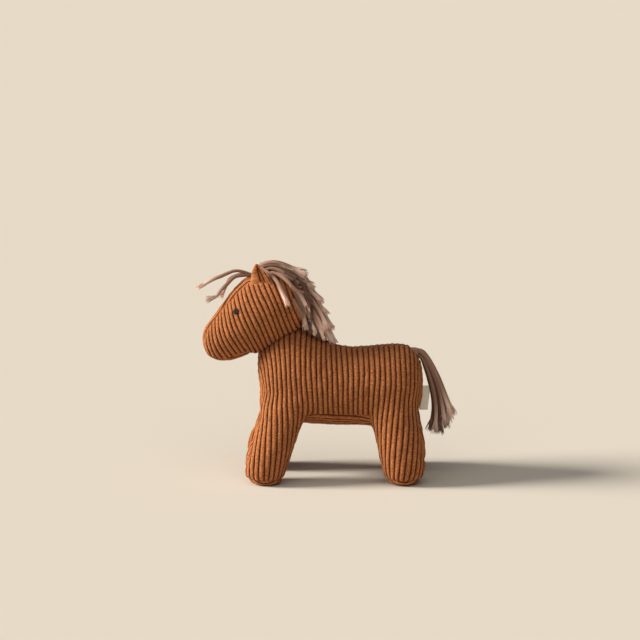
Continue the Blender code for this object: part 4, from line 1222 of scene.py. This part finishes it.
class PLUSH_OT_mane(bpy.types.Operator):
    """Makes the yarn mane"""

    bl_idname = "plush.mane"
    bl_label = "Mane"

    def execute(self, context):
        settings = context.scene.plush_yarn
        radius = settings.thickness / 2
        random = np.random.default_rng(11)
        trees = (head_tree(), body_tree())
        chains = self.pile_chains(radius, trees, random)
        for side in SIDE_NAMES:
            for strand in SIDE_STRANDS:
                chains.append(self.side_chain(side, strand, radius, trees, random))
        pile = YarnPile(settings, 3)
        for k, chain in enumerate(chains):
            # The pile's strands lie under the side strands and are given painted shade.
            pile.strand(chain, radius, under=k < MANE_STRANDS)
        piece = pile.piece("mane", yarn_material(settings))
        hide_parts("mane_tape", *(f"mane_ridge_lock_{k}" for k in range(1, 5)),
                    *(f"mane_lock_{side}_{k}" for side in SIDE_NAMES.values() for k in range(1, 8)))
        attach(piece, "stuffed_body")
        return {"FINISHED"}

    def pile_chains(self, radius, trees, random):
        """The strands that run back from the crest."""
        line, outward = crest_line(241)
        crest_length = np.linalg.norm(np.diff(line, axis=0), axis=1).sum()
        chains = []
        for k in range(MANE_STRANDS):
            start = crest_length * (0.05 + 0.80 * (k + random.uniform(0.0, 1.0)) / MANE_STRANDS)
            length = min(MANE_LENGTH * random.uniform(0.86, 1.12), crest_length - start)
            share = np.linspace(0, 1, 15)
            fan = math.radians(MANE_FAN * (2 * ((k * 0.618) % 1) - 1))
            angle = fan * (0.15 + 0.85 * share ** 0.9) + random.normal(0, 0.02)
            run = start + length * share
            mound = np.interp(run / crest_length, MANE_SHARES, MANE_HEIGHTS) * MM
            height = radius * 0.8 + np.maximum(mound - radius, 0) * share ** 1.1 * (1 - 0.75 * np.abs(angle) ** 1.5)
            place = np.minimum(run / crest_length, 1) * (len(line) - 1)
            base, up = (
                np.column_stack([np.interp(place, np.arange(len(line)), known[:, axis]) for axis in range(3)])
                for known in (line, outward))
            reach = CREST_BEND + height
            path = base + unit(up) * (reach * np.cos(angle) - CREST_BEND)[:, None]
            path[:, 1] += reach * np.sin(angle)
            path = outside(path, radius * 0.9, trees)
            path[1:-1] = (path[:-2] + 2 * path[1:-1] + path[2:]) / 4
            chains.append(clipped(path))
        return chains

    def side_chain(self, side, strand, radius, trees, random):
        """One strand on the side of head and neck. Those on the far side stray a little."""
        root, tip, layer, route = strand
        stray = np.zeros(2) if side == LEFT else np.array([-abs(random.normal(0, STRAY)), random.normal(0, STRAY)])
        path = []
        for k, (x, z) in enumerate(route):
            share = k / (len(route) - 1)
            x, z = (np.array([x, z]) + stray * (0.3 + 0.7 * share)) * MM
            point = beside(x, z, side, radius * (1.0 + 2 * layer))
            point[1] = side * max(abs(point[1]), (root + (tip - root) * share) * MM)
            path.append(point)
        path = resample(path, 17)
        for _ in range(3):
            path[1:-1, 1] = (path[:-2, 1] + path[1:-1, 1] + path[2:, 1]) / 3
        return outside(path, radius * 0.9, trees)


class PLUSH_OT_forelock(bpy.types.Operator):
    """Makes the yarn forelock"""

    bl_idname = "plush.forelock"
    bl_label = "Forelock"

    def execute(self, context):
        settings = context.scene.plush_yarn
        pile = YarnPile(settings, 8)
        for strand, depth in zip(FORELOCK_STRANDS, FORELOCK_DEPTHS):
            share = np.linspace(0.1, 1, len(strand) + 1)
            path = [(x * MM, depth * MM * part, z * MM) for (x, z), part in zip((FORELOCK_ROOT, *strand), share)]
            pile.strand(path, settings.thickness * 0.44, 1.5, 1.15)
        piece = pile.piece("forelock", yarn_material(settings))
        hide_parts("forelock_strand_1", "forelock_strand_2", "forelock_strand_3")
        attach(piece, "stuffed_body")
        return {"FINISHED"}


# The inner and the outer edge of the tail, as x mm and z mm from root to tip.
TAIL_INNER = (
    (79.0, 111.4), (82.5, 111.3), (85.2, 109.2), (88.0, 103.5), (91.3, 94.5), (94.6, 82.0), (96.9, 70.5),
    (97.0, 59.6), (94.4, 50.2))
TAIL_OUTER = (
    (79.0, 116.4), (83.5, 116.9), (88.5, 114.4), (93.6, 108.2), (99.0, 97.8), (103.8, 87.0), (108.2, 75.7),
    (111.4, 67.5), (115.0, 60.5))
TAIL_STRANDS = 12
# How far the strands lie out of the middle plane, and how much further the longest hang.
TAIL_DEPTH, TAIL_HANG = 0.0050, 0.055
# Of this many strands, those that stay near the middle lie in the tail's depth and get painted shade.
TAIL_INSIDE, TAIL_CORE = 9, 0.0032
# The stub of yarn between the seam in the cover and the tail, as x mm and z mm, and how its threads lie.
STUB_ROUTE = ((73.5, 112.6), (76.5, 113.7), (79.5, 114.1), (82.6, 113.5))
STUB_THREADS, STUB_RING, STUB_RADIUS = 7, 0.0029, 0.0017


class PLUSH_OT_tail(bpy.types.Operator):
    """Makes the yarn tail and its bound root"""

    bl_idname = "plush.tail"
    bl_label = "Tail"

    def execute(self, context):
        settings = context.scene.plush_yarn
        random = np.random.default_rng(21)
        radius = settings.thickness * 0.46
        chains = []
        inner, outer = np.array(TAIL_INNER) * MM, np.array(TAIL_OUTER) * MM
        drop = np.linspace(0, 1, len(inner))
        for k in range(TAIL_STRANDS):
            share = (k + 0.5) / TAIL_STRANDS
            deep = TAIL_DEPTH * math.sin(k * 2.4) * math.sqrt(1 - (2 * share - 1) ** 2 * 0.8)
            route = inner * (1 - share) + outer * share
            longer = 0.64 * (0.25 - (share - 0.45) ** 2) + random.uniform(-0.06, 0.04)
            path = resample(np.column_stack([route[:, 0], deep * np.sqrt(drop), route[:, 1]]), 16)
            path[8:, 2] -= longer * TAIL_HANG * np.linspace(0, 1, 8)
            chains.append(resample(path, 16))
        pile = YarnPile(settings, 5)
        for k, chain in enumerate(settle(chains, radius, (body_tree(),), 24, 3)):
            # Strands in the tail's depth get painted shade.
            pile.strand(chain, radius, 1.5, 1.3, under=k < TAIL_INSIDE and np.abs(chain[:, 1]).max() < TAIL_CORE)
        piece = pile.piece("tail_strands", yarn_material(settings))
        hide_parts(*(f"tail_lock_{name}" for name in (
            "outer_left", "outer_right", "middle", "inner_left", "inner_right")))
        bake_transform(piece)
        root = YarnPile(settings, 6)
        for k in range(STUB_THREADS):
            turn = k * math.tau / (STUB_THREADS - 1)
            ring = 0.0 if k == STUB_THREADS - 1 else STUB_RING
            off = np.array([0.0, 0.8 * math.cos(turn), math.sin(turn)]) * ring
            path = resample([np.array([x * MM, 0.0, z * MM]) + off for x, z in STUB_ROUTE], 9)
            made = tube(path, np.full(9, STUB_RADIUS), 10, 0.06, 4)
            root.add(made, np.linspace(0, 0.3, 9), 0.2 + k + np.tile(np.arange(10) / 20, 9))
        bound = root.piece("tail_binding", yarn_material(settings))
        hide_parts("tail_root")
        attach(bound, "tail_root")
        return {"FINISHED"}


def thicken(piece, thickness):
    """Gives a sheet its thickness, half of it to each side, as part of its mesh."""
    solid = piece.modifiers.new("thickness", "SOLIDIFY")
    solid.thickness = thickness
    solid.offset = 0.0
    made = bpy.data.meshes.new_from_object(piece.evaluated_get(bpy.context.evaluated_depsgraph_get()))
    piece.modifiers.clear()
    piece.data = made


# Where the ears are hinged, on the right side.
EAR_HINGE = (-0.05947, 0.01864, 0.18067)
# Which way each ear points, and which way it widens. The right one is laid back and outwards.
EAR_AIMS = {LEFT: (-0.02, -0.10, 1.0), RIGHT: (0.66, 0.50, 0.56)}
EAR_ACROSS = (0.93, 0.36, 0.0)
# An ear's cross-section from its free front edge, which is rolled outwards, to its back edge: share of the way back,
# and mm outwards.
EAR_SECTION = (
    (0.36, 1.3), (0.23, 2.1), (0.09, 2.1), (0.00, 0.9), (0.03, -0.5), (0.16, -1.2), (0.32, -0.9), (0.46, -0.1),
    (0.60, 0.6), (0.76, 0.8), (0.90, 0.3), (1.0, -0.8))
# The section's length while its points are spread evenly, in metres.
EAR_SPAN = 0.02
# Places across the ear, in mm from its hinge.
EAR_FRONT, EAR_BACK, EAR_TIP = -7.4, 12.2, -2.2
# The rolled front is smooth up to EAR_SMOOTH of the way round, and EAR_RIBS ribs run up the rest.
EAR_SMOOTH = 0.56
EAR_RIBS = 3.0
EAR_THICKNESS, EAR_SINK, EAR_FILL = 0.0013, 0.0016, 0.2


class PLUSH_OT_ears(bpy.types.Operator):
    """Makes the folded ears"""

    bl_idname = "plush.ears"
    bl_label = "Ears"

    def execute(self, context):
        cover = context.scene.plush_cover
        detail = context.scene.plush_detail
        material = cover_material("ear_knit", cover)
        columns, levels = 73, 30
        section = resample([(a * EAR_SPAN, b * MM, 0.0) for a, b in EAR_SECTION], columns)
        for side, side_name in SIDE_NAMES.items():
            mirror = np.array([1.0, side, 1.0])
            hinge = np.array(EAR_HINGE) * mirror
            across = unit(np.array(EAR_ACROSS) * mirror)
            up = unit(np.array(EAR_AIMS[side]))
            outward = unit(np.cross(up, across) * -side)
            points, uvs = [], []
            for rise in np.arange(levels) / (levels - 1):
                front = EAR_FRONT + (EAR_TIP - 0.6 - EAR_FRONT) * rise ** 3.2
                back = EAR_BACK + (EAR_TIP + 0.9 - EAR_BACK) * rise + 0.8 * math.sin(math.pi * rise)
                narrow = (back - front) / (EAR_BACK - EAR_FRONT)
                for share, place in zip(np.arange(columns) / (columns - 1), section):
                    ribs = max(share - EAR_SMOOTH, 0) / (1 - EAR_SMOOTH) * EAR_RIBS + 0.5
                    relief = 0.6 * (rib_back(ribs % 1.0) - 0.6) * min(1.0, 5 * rise + 0.2)
                    relief *= min(1.0, 8 * share, 8 * (1 - share)) * min(1.0, 4 * (1 - rise))
                    out = place[1] / MM * (0.25 + 0.75 * narrow) + relief * narrow ** 0.3
                    points.append(hinge + across * (front + (back - front) * place[0] / EAR_SPAN) * MM
                                  + outward * out * MM + up * (detail.ear_height * rise - EAR_SINK))
                    uvs.append((ribs, rise * detail.ear_height / cover.rib_pitch))
            piece = add_piece(f"ear_flap_{side_name}", points, quads(levels, columns), material, uvs)
            thicken(piece, EAR_THICKNESS)
            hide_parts(f"ear_{side_name}")
            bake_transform(piece)
        return {"FINISHED"}


# How far the eye lies from its CAD solid, and how far off the head's smooth surface.
EYE_SHIFT, EYE_LIFT = np.array([0.0011, 0.0, -0.0004]), 0.0013
# The way that the stitches run, how many there are, their thickness and how high they bulge.
EYE_RUN = np.array([0.35, 0.0, 1.0])
EYE_STITCHES, STITCH_RADIUS, EYE_DOME = 15, 0.00026, 0.0009


class PLUSH_OT_eyes(bpy.types.Operator):
    """Makes the stitched eyes"""

    bl_idname = "plush.eyes"
    bl_label = "Eyes"

    def execute(self, context):
        settings = context.scene.plush_detail
        material = thread_material(settings)
        radius = settings.eye_diameter / 2
        random = np.random.default_rng(4)
        for side_name in SIDE_NAMES.values():
            low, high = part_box(f"eye_{side_name}")
            place, normal, _, _ = head_tree().find_nearest((low + high) / 2)
            normal = np.array(normal)
            place = np.array(place) + normal * EYE_LIFT + EYE_SHIFT
            along = unit(EYE_RUN - normal * (normal @ EYE_RUN))
            across = np.cross(normal, along)
            pile = YarnPile(context.scene.plush_yarn, 2)
            for k in range(EYE_STITCHES):
                shift = (2 * k - EYE_STITCHES + 1) / EYE_STITCHES
                half = math.sqrt(1 - shift ** 2) * random.uniform(0.94, 1.05)
                line = []
                for share in np.linspace(-1, 1, 9):
                    dome = EYE_DOME * math.sqrt(1 - shift ** 2 * 0.8) * (1 - abs(share) ** 3) - 0.0003
                    line.append(place + (across * shift + along * half * share) * radius + normal * dome)
                pile.add(tube(line, np.full(9, STITCH_RADIUS), 7), np.linspace(0, 6, 9), np.tile(np.arange(7) / 7, 9))
            piece = pile.piece(f"eye_stitches_{side_name}", material, "eye_thread")
            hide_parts(f"eye_{side_name}")
            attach(piece, "stuffed_body")
        return {"FINISHED"}


# How far the label leans back, x per z, along the seam it is sewn into, and how far it bows sideways.
LABEL_TILT, LABEL_BOW = 0.11, 0.0005
# How deep the label is held in its seam, the length of its tape, the tape's thickness, and the fold's radius.
LABEL_HELD, LABEL_LENGTH, LABEL_THICKNESS, LABEL_FOLD = 0.0018, 0.0150, 0.00035, 0.0007
# How far the two layers lie from the middle at the seam, and how much further at the fold.
LABEL_GAP, LABEL_SPREAD = 0.00045, 0.00025


class PLUSH_OT_label(bpy.types.Operator):
    """Makes the folded label"""

    bl_idname = "plush.label"
    bl_label = "Label"

    def execute(self, context):
        settings = context.scene.plush_detail
        low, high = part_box("label")
        root = high.x - settings.label_reach - LABEL_HELD
        end = high.x - LABEL_FOLD
        layer = [(root + (end - root) * share, LABEL_GAP + LABEL_SPREAD * share) for share in np.arange(6) / 5]
        path = [(x, -y) for x, y in layer]
        path += [(end + LABEL_FOLD * math.sin(turn), -LABEL_FOLD * math.cos(turn))
                 for turn in np.radians(np.linspace(20, 160, 8))]
        path += reversed(layer)
        levels = 19
        points = []
        for share in np.arange(levels) / (levels - 1):
            z = (share - 0.5) * settings.label_height
            for x, y in path:
                bow = LABEL_BOW * math.sin(math.pi * share) * (x - root) / settings.label_reach
                points.append((x + LABEL_TILT * z, y + bow, (low.z + high.z) / 2 + z))
        piece = add_piece("label_tape", points, quads(levels, len(path)), label_material(settings))
        thicken(piece, LABEL_THICKNESS)
        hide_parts("label")
        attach(piece, "label")
        return {"FINISHED"}


class PLUSH_PT_panel(bpy.types.Panel):
    """Lists the horse's pieces in the sidebar"""

    bl_label = "Plush Horse"
    bl_idname = "PLUSH_PT_panel"
    bl_space_type = "VIEW_3D"
    bl_region_type = "UI"
    bl_category = "Plush Horse"

    def draw(self, context):
        for name, group in GROUPS.items():
            settings = getattr(context.scene, name)
            box = self.layout.box()
            box.label(text=group.__doc__)
            for field in group.__annotations__:
                box.prop(settings, field)
        for operator in OPERATORS:
            self.layout.operator(operator.bl_idname)


GROUPS = {
    "plush_cover": PlushCoverSettings,
    "plush_yarn": PlushYarnSettings,
    "plush_detail": PlushDetailSettings,
    "plush_stage": PlushStageSettings,
}
OPERATORS = (
    PLUSH_OT_stage, PLUSH_OT_body_cover, PLUSH_OT_head_cover, PLUSH_OT_ears, PLUSH_OT_eyes,
    PLUSH_OT_mane, PLUSH_OT_forelock, PLUSH_OT_tail, PLUSH_OT_label,
)


def register():
    for name, group in GROUPS.items():
        bpy.utils.register_class(group)
        setattr(bpy.types.Scene, name, bpy.props.PointerProperty(type=group))
    for kind in (*OPERATORS, PLUSH_PT_panel):
        bpy.utils.register_class(kind)


def unregister():
    for kind in (PLUSH_PT_panel, *reversed(OPERATORS)):
        bpy.utils.unregister_class(kind)
    for name, group in reversed(GROUPS.items()):
        delattr(bpy.types.Scene, name)
        bpy.utils.unregister_class(group)


def main():
    """Makes every piece."""
    register()
    bpy.ops.plush.stage()
    bpy.ops.plush.body_cover()
    bpy.ops.plush.head_cover()
    bpy.ops.plush.ears()
    bpy.ops.plush.eyes()
    bpy.ops.plush.mane()
    bpy.ops.plush.forelock()
    bpy.ops.plush.tail()
    bpy.ops.plush.label()


if __name__ == "__main__":
    main()
